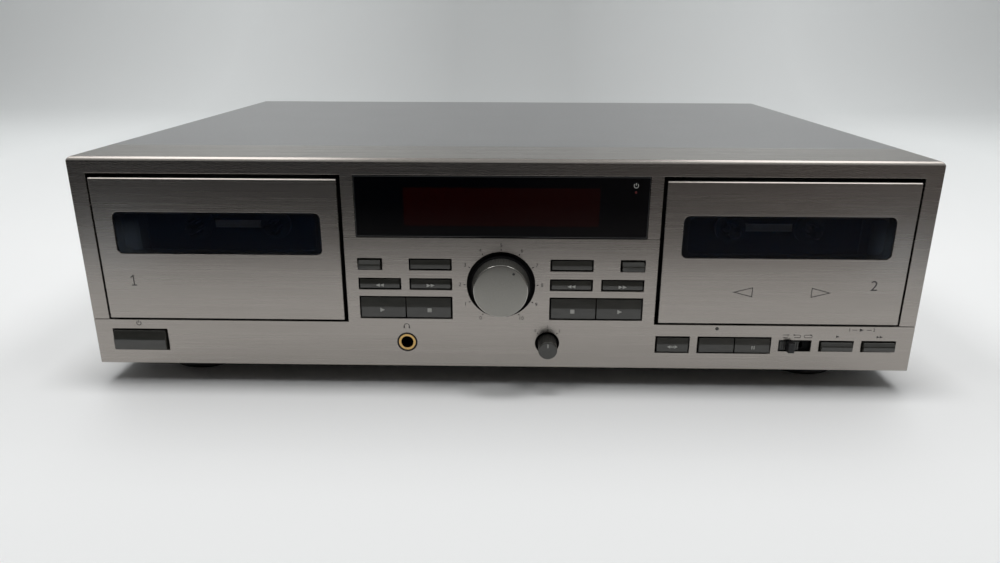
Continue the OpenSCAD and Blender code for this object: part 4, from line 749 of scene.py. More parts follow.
# %% Headphone socket
PHONES_X, PHONES_Z = -50, 13.85
BUSH_R, BUSH_L, BUSH = 4.52, 6.02, 1
FINE_EDGE = 0.12
phones = softened("phones_jack", FINE_EDGE)
phones.data.materials.append(brass)
bush = at(PHONES_X, BUSH_L, PHONES_Z)
brass_faces = 0
for face in phones.data.polygons:
    corners = [phones.data.vertices[i].co for i in face.vertices]
    if all(math.hypot(c.x - bush.x, c.z - bush.z) < BUSH_R * MM and c.y < bush.y for c in corners):
        face.material_index = BUSH
        brass_faces += 1
dress(phones, BODY_OF["phones_jack"], "black_plastic", "phones_jack")
print(brass_faces, "brass faces on the headphone socket")

# %% [markdown]
# An open door shows the tape heads, and an open cover the boards. On the real deck a head
# carriage is bare steel, the head is lapped bright where the tape rubs on it, and the pinch roller
# that presses the tape on the capstan is rubber. A board is brown laminate, and what stands on it
# is dark plastic. Each of these nodes holds several solids on one body, so the softened copy gets
# a finish for each of its loose shells. Walking from face to face finds a shell, and its size
# tells what it is.

# %% Loose shells


def spans(corners):
    """Low and high x, y and z of some points."""
    return [(min(c[axis] for c in corners), max(c[axis] for c in corners)) for axis in range(3)]


def shells(mesh):
    """The loose shells of a mesh: the numbers of their faces, and their size along x, y and z."""
    bm = bmesh.new()
    bm.from_mesh(mesh)
    bm.faces.ensure_lookup_table()
    left = set(range(len(bm.faces)))
    while left:
        shell, walk = [], [left.pop()]
        while walk:
            shell.append(walk.pop())
            here = bm.faces[shell[-1]]
            near = {face.index for edge in here.edges for face in edge.link_faces} & left
            left -= near
            walk.extend(near)
        corners = [vert.co for number in shell for vert in bm.faces[number].verts]
        yield shell, [high - low for low, high in spans(corners)]
    bm.free()


print("shells walks a mesh from face to face")

# %% Heads and pinch rollers
HEAD_HALF, HEAD_L, SHELF_T = 7.0, 9.0, 2.5
ROLLER_WIDE, SLACK = 13.0, 0.05
BRIGHT, RUBBER = 1, 2
for node in ("head_block_a", "head_block_b"):
    heads = softened(node, FINE_EDGE)
    heads.data.materials.append(knob_rim)
    heads.data.materials.append(belt_rubber)
    low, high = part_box(node)
    middle = (low.x + high.x) / 2
    rollers = 0
    for shell, size in shells(heads.data):
        rollers += size[0] < ROLLER_WIDE * MM
        for number in shell:
            face = heads.data.polygons[number]
            corners = [heads.data.vertices[i].co for i in face.vertices]
            if size[0] < ROLLER_WIDE * MM:
                face.material_index = RUBBER
            elif all(abs(c.x - middle) < (HEAD_HALF + SLACK) * MM
                     and c.y < low.y + (HEAD_L + SLACK) * MM
                     and c.z > low.z + (SHELF_T - SLACK) * MM for c in corners):
                face.material_index = BRIGHT
    dress(heads, BODY_OF[node], SLOT_OF[node], node)
    print(node, "with", rollers, "rubber rollers")

# %% Boards
SHEET_T, SHEET_L, BOARD_EDGE, DARK = 2.1, 25.0, 0.1, 1
for node in ("main_board", "front_boards"):
    board = softened(node, BOARD_EDGE)
    board.data.materials.append(black_plastic)
    stood = 0
    for shell, size in shells(board.data):
        if min(size) > SHEET_T * MM or max(size) < SHEET_L * MM:
            stood += 1
            for number in shell:
                board.data.polygons[number].material_index = DARK
    dress(board, BODY_OF[node], SLOT_OF[node], node)
    print(node, "with", stood, "dark components")

# %% [markdown]
# Pan-head screws hold the cover, the rear lip and the feet. One is turned like the knobs, and a
# tapered cross is cut into its head for the driver. The solids say where each screw sits and which
# way it looks, so those places go into a mesh of loose points with a direction on each, and a tree
# stands a screw on every point. No two crosses line up on a real case, so each gets its own turn,
# drawn with a fixed seed.

# %% Case screws
SCREW_HEAD_R, SCREW_HEAD_T, SCREW_ROUND = 3.2, 1.9, 0.9
SHANK_R, SHANK_L = 1.5, 5.0
CROSS_ARM, CROSS_HALF, CROSS_TAPER = 1.8, 0.42, 0.55
CROSS_DEEP, CROSS_OUT = 1.15, 1.5
SCREW_SIDES, ROUND_STEPS, SPIN_SEED = 32, 6, 4
SCREW_SHARP = math.radians(35)

bm = bmesh.new()
bmesh.ops.create_circle(bm, segments=SCREW_SIDES, radius=SCREW_HEAD_R * MM,
                        matrix=Matrix.Rotation(math.pi / 2, 4, "X"))
rim = list(bm.edges)
head = []
for step in range(ROUND_STEPS + 1):
    turn = math.pi / 2 * step / ROUND_STEPS
    head.append(((SCREW_HEAD_R - SCREW_ROUND + SCREW_ROUND * math.cos(turn)) * MM,
                 (SCREW_HEAD_T - SCREW_ROUND + SCREW_ROUND * math.sin(turn)) * MM, 0))
shank = [(SHANK_R * MM, depth * MM, 0) for depth in (0, -SHANK_L)]
for rings in (head, shank):
    turn_on(bm, rim, rings, Vector())
bmesh.ops.recalc_face_normals(bm, faces=bm.faces)
for face in bm.faces:
    face.smooth = True
screw = piece_from(bm, "screw")

quarter = [(CROSS_HALF, CROSS_ARM), (CROSS_HALF, CROSS_HALF), (CROSS_ARM, CROSS_HALF)]
cross = []
for _ in range(4):
    cross += quarter
    quarter = [(z, -x) for x, z in quarter]
bm = bmesh.new()
levels = ((SCREW_HEAD_T + CROSS_OUT, 1), (SCREW_HEAD_T - CROSS_DEEP, CROSS_TAPER))
top, bottom = ([bm.verts.new((x * scale * MM, y * MM, z * scale * MM)) for x, z in cross]
               for y, scale in levels)
bm.faces.new(top)
bm.faces.new(bottom[::-1])
for i in range(len(cross)):
    bm.faces.new((top[i - 1], bottom[i - 1], bottom[i], top[i]))
bmesh.ops.recalc_face_normals(bm, faces=bm.faces)
cut(screw, piece_from(bm, "cross"))
screw.data.set_sharp_from_angle(angle=SCREW_SHARP)
print("one screw:", len(screw.data.polygons), "faces")

# %% Places of the screws
mesh = nodes["case_screws"].data.copy()
bm = bmesh.new()
bm.from_mesh(mesh)
bmesh.ops.remove_doubles(bm, verts=bm.verts, dist=TOUCH)
bm.to_mesh(mesh)
bm.free()
deck_middle = (Vector(cad_box[0]) + Vector(cad_box[1])) / 2
seats, ways = [], []
for shell, size in shells(mesh):
    corners = [mesh.vertices[i].co for number in shell for i in mesh.polygons[number].vertices]
    middle = Vector([(high + low) / 2 for low, high in spans(corners)])
    along = size.index(max(size))
    way = Vector()
    way[along] = math.copysign(1, middle[along] - deck_middle[along])
    seats.append(middle + way * (size[along] / 2 - SCREW_HEAD_T * MM))
    ways.extend(way)
places = bpy.data.meshes.new("screw_places")
places.from_pydata(seats, [], [])
places.attributes.new("way", "FLOAT_VECTOR", "POINT").data.foreach_set("vector", ways)
print(len(seats), "places for screws")

# %% Screws on their places
screw_tree, given = new_tree("screws_on_places", (
    ("Places", "Geometry"),
    ("Screw", "Object"),
    ("Spin", "Float"),
    ("Seed", "Int"),
    ("Finish", "Material"),
))
way = put(screw_tree, "GeometryNodeInputNamedAttribute", {"Name": "way"}, data_type="FLOAT_VECTOR")
aimed = put(screw_tree, "FunctionNodeAlignRotationToVector", {"Vector": way.outputs[0]}, axis="Y")
chance = put(screw_tree, "FunctionNodeRandomValue", {"Seed": given["Seed"]}, data_type="FLOAT")
spin = maths(screw_tree, "MULTIPLY", chance.outputs["Value"], given["Spin"])
own_turn = put(screw_tree, "ShaderNodeCombineXYZ", {"Y": spin}).outputs[0]
spun = put(screw_tree, "FunctionNodeRotateRotation",
           {"Rotation": aimed.outputs[0], "Rotate By": own_turn}, rotation_space="LOCAL")
shape = put(screw_tree, "GeometryNodeObjectInfo", {"Object": given["Screw"]})
stood = put(screw_tree, "GeometryNodeInstanceOnPoints", {
    "Points": given["Places"], "Instance": shape.outputs["Geometry"], "Rotation": spun.outputs[0]})
end_tree(screw_tree, stood.outputs[0], given["Finish"])
screws = run_tree("case_screws_turned", screw_tree, base=places, screw=screw,
                  spin=math.pi / 2, seed=SPIN_SEED, finish=screw_steel)
bpy.data.objects.remove(screw)
dress(screws, BODY_OF["case_screws"], SLOT_OF["case_screws"], "case_screws")
print("screws:", len(screws.data.polygons), "faces")

# %% [markdown]
# ## Printed marks
# Silk-screened ink stands a few hundredths of a millimetre proud. Each mark is a thin closed
# plate set into the face that carries it, so it shows from any side as geometry. The
# keys carry the usual transport signs, and plain numbers and signs say the rest.

# %% Ink
INK = 0.04
SUNK = 0.06


def ink(name, dark, light):
    return grained(name, 0.6, dark, light, rough=(0.5, 0.65))


pale_ink = ink("pale_ink", (0.42, 0.42, 0.39), (0.52, 0.52, 0.49))
dark_ink = ink("dark_ink", (0.055, 0.051, 0.048), (0.09, 0.084, 0.08))


def plate(bm, outline, y):
    """A thin closed plate from (x, z) corners, standing proud of depth y."""
    sides = [[bm.verts.new(at(x, depth, z)) for x, z in outline]
             for depth in (y - INK, y + SUNK)]
    bm.faces.new(sides[0])
    bm.faces.new(sides[1][::-1])
    for i in range(len(outline)):
        j = (i + 1) % len(outline)
        bm.faces.new((sides[0][i], sides[1][i], sides[1][j], sides[0][j]))


def band(bm, outer, inner, y):
    """A thin closed ring between two outlines of as many corners."""
    loops = [[bm.verts.new(at(x, depth, z)) for x, z in line]
             for depth in (y - INK, y + SUNK) for line in (outer, inner)]
    count = len(outer)
    for a, b in ((0, 1), (1, 3), (3, 2), (2, 0)):
        for i in range(count):
            j = (i + 1) % count
            bm.faces.new((loops[a][i], loops[a][j], loops[b][j], loops[b][i]))


def printed(name, body, finish, slot, draw):
    """One piece of ink on one body; draw puts its plates into an empty mesh."""
    bm = bmesh.new()
    draw(bm)
    bmesh.ops.recalc_face_normals(bm, faces=bm.faces)
    dress(piece_from(bm, name, finish), body, slot)


print(f"ink stands {INK} mm proud of its face")

# %% Outlines


def bar(x, z, w, h):
    corners = ((-1, -1), (1, -1), (1, 1), (-1, 1))
    return [(x + aside * w / 2, z + up * h / 2) for aside, up in corners]


def arrow(x, z, w, h):
    """A triangle that points right, or left where w is negative."""
    return [(x - w / 2, z - h / 2), (x + w / 2, z), (x - w / 2, z + h / 2)]


def disc(x, z, r, start=0.0, sweep=2 * math.pi, count=28):
    """Corners round a circle, or along an arc where the sweep is less than a whole turn."""
    steps = count if sweep == 2 * math.pi else count - 1
    turns = [start + sweep * i / steps for i in range(count)]
    return [(x + r * math.sin(turn), z + r * math.cos(turn)) for turn in turns]


def arc(x, z, r, stroke, start, sweep):
    """A curved stroke, as one outline."""
    ends = (disc(x, z, r + side * stroke / 2, start, sweep) for side in (1, -1))
    return next(ends) + next(ends)[::-1]


def inset(outline, step):
    """The same outline with every side moved inwards by step."""
    loop = [Vector(corner) for corner in outline]
    area = sum(a.cross(b) for a, b in zip(loop, loop[1:] + loop[:1]))
    corners = []
    for i, here in enumerate(loop):
        before, after = here - loop[i - 1], loop[(i + 1) % len(loop)] - here
        first, second = (Vector((-run.y, run.x)).normalized() for run in (before, after))
        inward = (first + second) * math.copysign(step, area)
        corners.append(here + inward / (1 + first.dot(second)))
    return [tuple(corner) for corner in corners]


def outlined(bm, outline, stroke, y):
    """The outline drawn as a closed line."""
    band(bm, outline, inset(outline, stroke), y)


def key_face(key):
    """Middle x and z of a key's cap and the depth of its upright lower half, in millimetres."""
    low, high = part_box(key)
    return (low.x + high.x) / 2 / MM, (low.z + high.z) / 2 / MM - CASE_Z, low.y / MM - FACE_Y


print("a round outline has", len(disc(0, 0, 1)), "corners")

# %% Signs on the keys
WIND_W, WIND_H, WIND_DROP = 2.1, 1.75, 0.65
STOP_SIDE, PLAY_SIDE, PLAY_DROP = 2.2, 2.4, 1.2
SMALL_H, SMALL_DROP, PAUSE_W = 1.9, 0.9, 0.55
TURN_W, TURN_STEP = 1.6, 1.95
SHELL_W, SHELL_H, SHELL_LINE = 1.9, 1.1, 0.3


def wind_sign(way):
    def draw(bm, x, z, y):
        for side in (-0.5, 0.5):
            plate(bm, arrow(x + side * WIND_W, z - WIND_DROP, way * WIND_W, WIND_H), y)
    return draw


def stop_sign(bm, x, z, y):
    plate(bm, bar(x, z - PLAY_DROP, STOP_SIDE, STOP_SIDE), y)


def play_sign(bm, x, z, y):
    plate(bm, arrow(x, z - PLAY_DROP, PLAY_SIDE, PLAY_SIDE), y)


def pause_sign(bm, x, z, y):
    for side in (-1, 1):
        plate(bm, bar(x + side * PAUSE_W, z - SMALL_DROP, PAUSE_W, SMALL_H), y)


def two_way_sign(bm, x, z, y):
    for side in (-1, 1):
        plate(bm, arrow(x + side * TURN_STEP, z - SMALL_DROP, side * TURN_W, SMALL_H), y)
    outlined(bm, bar(x, z - SMALL_DROP, SHELL_W, SHELL_H), SHELL_LINE, y)


DECK_SIGNS = {"rewind": wind_sign(-1), "forward": wind_sign(1),
              "stop": stop_sign, "play": play_sign}
sign_of = {f"{deck}_{name}_key": sign for deck in "ab" for name, sign in DECK_SIGNS.items()}
sign_of.update(pause_key=pause_sign, direction_key=two_way_sign)
for key, sign in sign_of.items():
    printed(key + "_sign", key, pale_ink, "key_plastic", lambda bm: sign(bm, *key_face(key)))
print(len(sign_of), "signs on the keys")

# %% [markdown]
# The dial round the level knob is a rule again: equal ticks over 300 degrees. The tree turns
# points into places on an arc and stands one small box on each. A helper does the standing,
# because ribs will need it too. The numbers are text made into mesh before it is placed.

# %% Dial tree
BOX_INPUTS = (
    ("Count", "Int"),
    ("Width", "Float"),
    ("Length", "Float"),
    ("Thickness", "Float"),
    ("Depth", "Float"),
    ("Axis X", "Float"),
    ("Axis Z", "Float"),
    ("Finish", "Material"),
)


def stand_boxes(tree, given, count, x, z, turn=0.0):
    """Ends a tree with count boxes of its own size, each at its x and z and with its turn."""
    spot = put(tree, "ShaderNodeCombineXYZ", {"X": x, "Y": given["Depth"], "Z": z})
    points = put(tree, "GeometryNodePoints", {"Count": count, "Position": spot.outputs[0]})
    size = put(tree, "ShaderNodeCombineXYZ",
               {"X": given["Width"], "Y": given["Thickness"], "Z": given["Length"]})
    box = put(tree, "GeometryNodeMeshCube", {"Size": size.outputs[0]})
    leaning = put(tree, "ShaderNodeCombineXYZ", {"Y": turn})
    stood = put(tree, "GeometryNodeInstanceOnPoints", {
        "Points": points.outputs[0], "Instance": box.outputs["Mesh"],
        "Rotation": leaning.outputs[0]})
    end_tree(tree, stood.outputs[0], given["Finish"])


dial_tree, given = new_tree(
    "dial_ticks", BOX_INPUTS + (("Radius", "Float"), ("First", "Float"), ("Sweep", "Float")))
share = maths(dial_tree, "DIVIDE", put(dial_tree, "GeometryNodeInputIndex").outputs[0],
              maths(dial_tree, "SUBTRACT", given["Count"], 1))
turn = maths(dial_tree, "ADD", given["First"], maths(dial_tree, "MULTIPLY", share, given["Sweep"]))
x, z = on_circle(dial_tree, turn, given["Radius"], given)
stand_boxes(dial_tree, given, given["Count"], x, z, turn)
print("dial tree:", len(dial_tree.nodes), "nodes")

# %% Ticks round the level knob


def dial(name, middle, count, radius, first, sweep, width, length):
    """Ticks of ink on the front round a knob, sizes in millimetres."""
    made = run_tree(
        name, dial_tree, count=count, radius=radius * MM, first=first, sweep=sweep,
        width=width * MM, length=length * MM, thickness=(INK + SUNK) * MM,
        depth=at(0, (SUNK - INK) / 2, 0).y, axis_x=middle.x, axis_z=middle.z, finish=dark_ink)
    dress(made, "case", "satin_metal")
    print(name, "with", count, "ticks,", len(made.data.polygons), "faces")


DIAL_R, NUMBER_R = 19.0, 21.4
DIAL_COUNT, TICK_W, TICK_L = 11, 0.45, 1.0
DIAL_FIRST, DIAL_SWEEP = math.radians(-150), math.radians(300)
dial("dial_ticks", level_middle, DIAL_COUNT, DIAL_R, DIAL_FIRST, DIAL_SWEEP, TICK_W, TICK_L)

# %% Numbers
NUMBER_H, TYPE_SIZE = 2.0, 1.4


def numbers(name, body, finish, slot, rows):
    """Plain figures as one mesh; rows are (figures, x, y, z, height) in millimetres."""
    bm = bmesh.new()
    upright = Matrix.Rotation(math.pi / 2, 4, "X")
    for figures, x, y, z, height in rows:
        curve = bpy.data.curves.new("figures", "FONT")
        curve.body = figures
        curve.size = height * MM * TYPE_SIZE
        curve.align_x = curve.align_y = "CENTER"
        curve.extrude = (INK + SUNK) / 2 * MM
        text = new_piece("figures", curve)
        mesh = bpy.data.meshes.new_from_object(text)
        mesh.transform(Matrix.Translation(at(x, y + (SUNK - INK) / 2, z)) @ upright)
        bm.from_mesh(mesh)
        bpy.data.objects.remove(text)
    bmesh.ops.remove_doubles(bm, verts=bm.verts, dist=TOUCH)
    dress(piece_from(bm, name, finish), body, slot)


def round_dial(middle, radius, turns, height):
    """Rows for the figures 0, 1, 2 and so on, one at each turn round a knob."""
    x, z = middle.x / MM, middle.z / MM - CASE_Z
    return [(str(figure), x + radius * math.sin(turn), 0, z + radius * math.cos(turn), height)
            for figure, turn in enumerate(turns)]


turns = [DIAL_FIRST + DIAL_SWEEP * figure / (DIAL_COUNT - 1) for figure in range(DIAL_COUNT)]
rows = round_dial(level_middle, NUMBER_R, turns, NUMBER_H)
numbers("dial_numbers", "case", dark_ink, "satin_metal", rows)
print("dial figures 0 to", DIAL_COUNT - 1)

# %% [markdown]
# Round the small knob stand three ticks from the same tree. The doors carry their numbers, and the
# second one the two tape directions. Above the strip's controls stand plain signs: power,
# headphones, record, the three ways that a tape can run, and copying at one speed or two.

# %% Small dial
NR_R, NR_NUMBER_R, NR_STEP = 7.6, 9.5, math.radians(42)
NR_TICK_W, NR_TICK_L, NR_NUMBER_H = 0.4, 0.9, 1.5
INDEX_UP, INDEX_W, INDEX_L = 2.7, 0.6, 2.2
ROW_Z, COPY_X, COPY_STEP, COPY_H = 23.2, 190, 6.4, 1.8
turns = (-NR_STEP, 0, NR_STEP)
dial("small_dial_ticks", nr_middle, len(turns), NR_R, -NR_STEP, 2 * NR_STEP, NR_TICK_W, NR_TICK_L)
rows = round_dial(nr_middle, NR_NUMBER_R, turns, NR_NUMBER_H)
rows += [("1", COPY_X - COPY_STEP, 0, ROW_Z, COPY_H), ("2", COPY_X + COPY_STEP, 0, ROW_Z, COPY_H)]
numbers("small_numbers", "case", dark_ink, "satin_metal", rows)
NR_X, NR_Z = nr_middle.x / MM, nr_middle.z / MM - CASE_Z
NR_FACE_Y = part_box("nr_knob")[0].y / MM - FACE_Y
printed("nr_knob_index", "nr_knob", pale_ink, "key_plastic",
        lambda bm: plate(bm, bar(NR_X, NR_Z + INDEX_UP, INDEX_W, INDEX_L), NR_FACE_Y))
print(len(rows), "small figures, and the small knob's index line")

# %% Door numbers and tape directions
DOOR_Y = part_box("door_panel_a")[0].y / MM - FACE_Y
DECK_X, DECK_Z, DECK_H, DECK_LINE = 191.8, 47.9, 5.6, 0.6
ONE_FOOT_W, FLAG_W, FLAG_TOP, FLAG_FOOT, FLAG_T = 2.6, 1.5, 1.1, 1.8, 0.7
WAY_X, WAY_Z, WAY_STEP, WAY_W, WAY_H, WAY_LINE = 145.1, 44.2, 20.2, 10.3, 5.5, 0.42


def figure_one(bm):
    """A one with its flag and foot, drawn as strokes."""
    plate(bm, bar(-DECK_X, DECK_Z, DECK_LINE, DECK_H), DOOR_Y)
    plate(bm, bar(-DECK_X, DECK_Z - DECK_H / 2, ONE_FOOT_W, DECK_LINE), DOOR_Y)
    tip, flag_x = DECK_Z + DECK_H / 2, -DECK_X - FLAG_W
    plate(bm, [(-DECK_X, tip), (flag_x, tip - FLAG_TOP), (flag_x, tip - FLAG_FOOT),
               (-DECK_X, tip - FLAG_T)], DOOR_Y)


printed("deck_number_a", BODY_OF["door_panel_a"], dark_ink, "satin_metal", figure_one)
numbers("deck_number_b", BODY_OF["door_panel_b"], dark_ink, "satin_metal",
        [("2", DECK_X, DOOR_Y, DECK_Z, DECK_H)])


def tape_ways(bm):
    for side in (-1, 1):
        outlined(bm, arrow(WAY_X + side * WAY_STEP, WAY_Z, side * WAY_W, WAY_H), WAY_LINE, DOOR_Y)


printed("tape_directions", BODY_OF["door_panel_b"], dark_ink, "satin_metal", tape_ways)
print("numbers and tape directions on the doors")

# %% Signs on the strip
LOWER_ROW_Z = 19.3
POWER_X, POWER_R, POWER_LINE = -193.5, 1.15, 0.4
RING_START, RING_SWEEP = math.radians(38), math.radians(284)
HOOP_R, HOOP_LINE, HOOP_DROP = 1.4, 0.35, 0.3
HOOP_START, HOOP_SWEEP = math.radians(-95), math.radians(190)
CUP_STEP, CUP_DROP, CUP_W, CUP_H = 1.35, 0.85, 0.7, 1.3
RECORD_X, RECORD_R = 114.1, 0.95
COPY_TIP_W, COPY_TIP_H = 2.2, 1.7
DASH_STEP, DASH_L, DASH_T = 3.74, 2.6, 0.3
NORMAL_X, NORMAL_W, HIGH_X, HIGH_W, SPEED_H = 178, 1.7, 199.9, 1.6, 1.5
MODE_X, MODE_STEP = 156.45, 6.0
RUN_L, RUN_T, RUN_R, BEND_X = 2.6, 0.28, 0.75, 1.3
TIP_X, TIP = 1.6, 1.0


def power_sign(bm, x, z, y, radius, line, stem_up, stem_h):
    """A ring that is open at its top, with a stem in the gap."""
    plate(bm, arc(x, z, radius, line, RING_START, RING_SWEEP), y)
    plate(bm, bar(x, z + stem_up, line, stem_h), y)


def headphone_sign(bm, x, z):
    plate(bm, arc(x, z - HOOP_DROP, HOOP_R, HOOP_LINE, HOOP_START, HOOP_SWEEP), 0)
    for side in (-1, 1):
        plate(bm, bar(x + side * CUP_STEP, z - CUP_DROP, CUP_W, CUP_H), 0)


def copy_signs(bm):
    """An arrow from deck 1 to deck 2, and under it one tip for one speed, two for two."""
    plate(bm, arrow(COPY_X, ROW_Z, COPY_TIP_W, COPY_TIP_H), 0)
    for side in (-1, 1):
        plate(bm, bar(COPY_X + side * DASH_STEP, ROW_Z, DASH_L, DASH_T), 0)
    plate(bm, arrow(NORMAL_X, LOWER_ROW_Z, NORMAL_W, SPEED_H), 0)
    for side in (-0.5, 0.5):
        plate(bm, arrow(HIGH_X + side * HIGH_W, LOWER_ROW_Z, HIGH_W, SPEED_H), 0)


def mode_signs(bm):
    """A tape that runs one way, one that turns back once, and one that goes round."""
    for way, x in ((1, MODE_X - MODE_STEP), (-1, MODE_X), (1, MODE_X + MODE_STEP)):
        for up in (1, -1):
            plate(bm, bar(x, LOWER_ROW_Z + up * RUN_R, RUN_L, RUN_T), 0)
        plate(bm, arrow(x + way * TIP_X, LOWER_ROW_Z + RUN_R, way * TIP, TIP), 0)
    for x in (MODE_X, MODE_X + MODE_STEP):
        plate(bm, arc(x + BEND_X, LOWER_ROW_Z, RUN_R, RUN_T, 0, math.pi), 0)
    plate(bm, arc(MODE_X + MODE_STEP - BEND_X, LOWER_ROW_Z, RUN_R, RUN_T, math.pi, math.pi), 0)


def strip_signs(bm):
    power_sign(bm, POWER_X, ROW_Z, 0, POWER_R, POWER_LINE, stem_up=0.8, stem_h=1.4)
    headphone_sign(bm, PHONES_X, ROW_Z)
    plate(bm, disc(RECORD_X, ROW_Z, RECORD_R), 0)
    copy_signs(bm)
    mode_signs(bm)


printed("strip_signs", "case", dark_ink, "satin_metal", strip_signs)
print("power, headphones, record, copying and tape ways on the strip")

# %% Standby sign and lamp
PANE_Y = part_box("display_window")[0].y / MM - FACE_Y
STANDBY_X, STANDBY_Z, STANDBY_R, STANDBY_LINE = 67.0, 99.2, 1.1, 0.32
LAMP_Z, LAMP_R = 95.9, 0.55


def standby_sign(bm):
    power_sign(bm, STANDBY_X, STANDBY_Z, PANE_Y, STANDBY_R, STANDBY_LINE, stem_up=0.75, stem_h=1.3)


def standby_lamp(bm):
    plate(bm, disc(STANDBY_X, LAMP_Z, LAMP_R), PANE_Y)


lamp_lens = ink("standby_lens", (0.1, 0.004, 0.003), (0.16, 0.008, 0.006))
printed("standby_sign", "case", pale_ink, "display_glass", standby_sign)
printed("standby_lamp", "case", lamp_lens, "display_glass", standby_lamp)
print("standby sign and lamp on the display")

# %% [markdown]
# The lever's slide has ribs to push against, in two rows that mirror each other: count up in one
# row, then in the other, and the step and the side follow from the number of the rib. The line
# sockets behind wear collars in the two usual colours for left and right, turned from a profile.

# %% Lever ribs
lever_low, lever_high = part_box("reverse_lever")
SLIDE_Y = 0.65
RIB_ROW, RIB_FIRST, RIB_STEP = 3, 2.3, 1.1
RIB_W, RIB_H, RIB_OUT = 0.6, 4.6, 0.5
rib_tree, given = new_tree("rib_rows", BOX_INPUTS + (("First", "Float"), ("Step", "Float")))
number = put(rib_tree, "GeometryNodeInputIndex").outputs[0]
row = maths(rib_tree, "FLOOR", maths(rib_tree, "DIVIDE", number, given["Count"]))
side = maths(rib_tree, "SUBTRACT", maths(rib_tree, "MULTIPLY", row, 2), 1)
in_row = maths(rib_tree, "MODULO", number, given["Count"])
steps = maths(rib_tree, "MULTIPLY", in_row, given["Step"])
off = maths(rib_tree, "MULTIPLY", side, maths(rib_tree, "ADD", given["First"], steps))
stand_boxes(rib_tree, given, maths(rib_tree, "MULTIPLY", given["Count"], 2),
            maths(rib_tree, "ADD", given["Axis X"], off), given["Axis Z"])
lever_middle = (lever_low + lever_high) / 2
ribs = run_tree(
    "lever_ribs", rib_tree, count=RIB_ROW, first=RIB_FIRST * MM, step=RIB_STEP * MM,
    width=RIB_W * MM, length=RIB_H * MM, thickness=(RIB_OUT + SUNK) * MM,
    depth=at(0, SLIDE_Y + (SUNK - RIB_OUT) / 2, 0).y,
    axis_x=lever_middle.x, axis_z=lever_middle.z, finish=key_plastic)
dress(ribs, "reverse_lever", "black_plastic")
print("lever ribs:", len(ribs.data.polygons), "faces")

# %% Socket collars
sleeve_low, sleeve_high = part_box("line_jack_sleeves")
JACK_PITCH = 19.0
JACK_R = ((sleeve_high.x - sleeve_low.x) / MM - JACK_PITCH) / 2
JACK_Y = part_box("line_jack_block")[1].y / MM - FACE_Y
COLLAR, COLLAR_SIDES = [(0.05, -0.1), (0.05, 0.9), (1.2, 0.9), (1.5, 0.6), (1.5, -0.1)], 40
sleeve_middle = (sleeve_low + sleeve_high) / 2


def collars(side):
    """Two collars, one above the other; side tells the left pair from the right."""
    def draw(bm):
        for row in (-1, 1):
            x = sleeve_middle.x / MM + side * JACK_PITCH / 2
            z = sleeve_middle.z / MM - CASE_Z + row * JACK_PITCH / 2
            loops = [[bm.verts.new(at(px, JACK_Y + y, pz))
                      for px, pz in disc(x, z, JACK_R + r, count=COLLAR_SIDES)] for r, y in COLLAR]
            for one, other in zip(loops, loops[1:] + loops[:1]):
                for i in range(COLLAR_SIDES):
                    bm.faces.new((one[i], one[i - 1], other[i - 1], other[i])).smooth = True
    return draw


white_collar = ink("white_collar", (0.6, 0.6, 0.57), (0.68, 0.68, 0.65))
red_collar = ink("red_collar", (0.3, 0.02, 0.018), (0.38, 0.03, 0.026))
for name, side, finish in (("white_collars", 1, white_collar), ("red_collars", -1, red_collar)):
    printed(name, BODY_OF["line_jack_block"], finish, "black_plastic", collars(side))
print("white and red collars on the line sockets")

# %% [markdown]
# ## Stage
# The deck stands on a pale table that curves up into a pale wall, so no edge runs behind it, and
# far off the table fades into the sky. The light is soft: a small lamp above, a long soft box on
# either side, a wash on the wall and a weak sky that is brighter behind. A polished front shows
# what stands before it, so a dark card, out of the camera's sight and seen by reflections alone,
# gives it something dark to mirror, as a studio's black flag does. The card is paler at its foot
# and to the right, so the front is not one flat tone.

# %% Table and wall
FLOOR_HALF = 6.0
WALL_Y = 1.75
WALL_TOP = 2.6
SWEEP_R = 0.5
SWEEP_STEPS = 16
profile = [(-FLOOR_HALF, 0.0)]
for step in range(SWEEP_STEPS + 1):
    turn = math.pi / 2 * step / SWEEP_STEPS
    profile.append((WALL_Y - SWEEP_R + SWEEP_R * math.sin(turn),
                    SWEEP_R - SWEEP_R * math.cos(turn)))
profile.append((WALL_Y, WALL_TOP))
bm = bmesh.new()
rows = [[bm.verts.new((x, y, z)) for x in (-FLOOR_HALF, FLOOR_HALF)] for y, z in profile]
for low, high in zip(rows, rows[1:]):
    bm.faces.new((low[0], low[1], high[1], high[0])).smooth = True
table = piece_from(bm, "table_and_wall")
print(f"table and wall, with the wall {WALL_Y} m behind")

# %% Pale finish
SKY_SEEN, SKY_TINT = 0.5, (0.98, 1.0, 1.0, 1)
TABLE_PALE = (0.83, 0.835, 0.835, 1)
WALL_SIDES = (0.9, 0.92, 0.92, 1)
# The wall's middle is darker than its sides: painted shade on the wall, which the cover mirrors.
WALL_MIDDLE_PAINTED_SHADE = (0.6, 0.615, 0.615, 1)
FAR_ASIDE, FAR_AHEAD, FAR_FADE = 1.6, 0.7, 1.6
ASIDE_NEAR, ASIDE_FAR = 0.15, 0.75
BEHIND_NEAR, BEHIND_FAR = 0.1, 0.8


def mottle(finish, size, amount):
    """A large, weak grain that swings round zero."""
    tree = finish.node_tree
    return maths(tree, "MULTIPLY", maths(tree, "SUBTRACT", grain(finish, size), 0.5), amount)


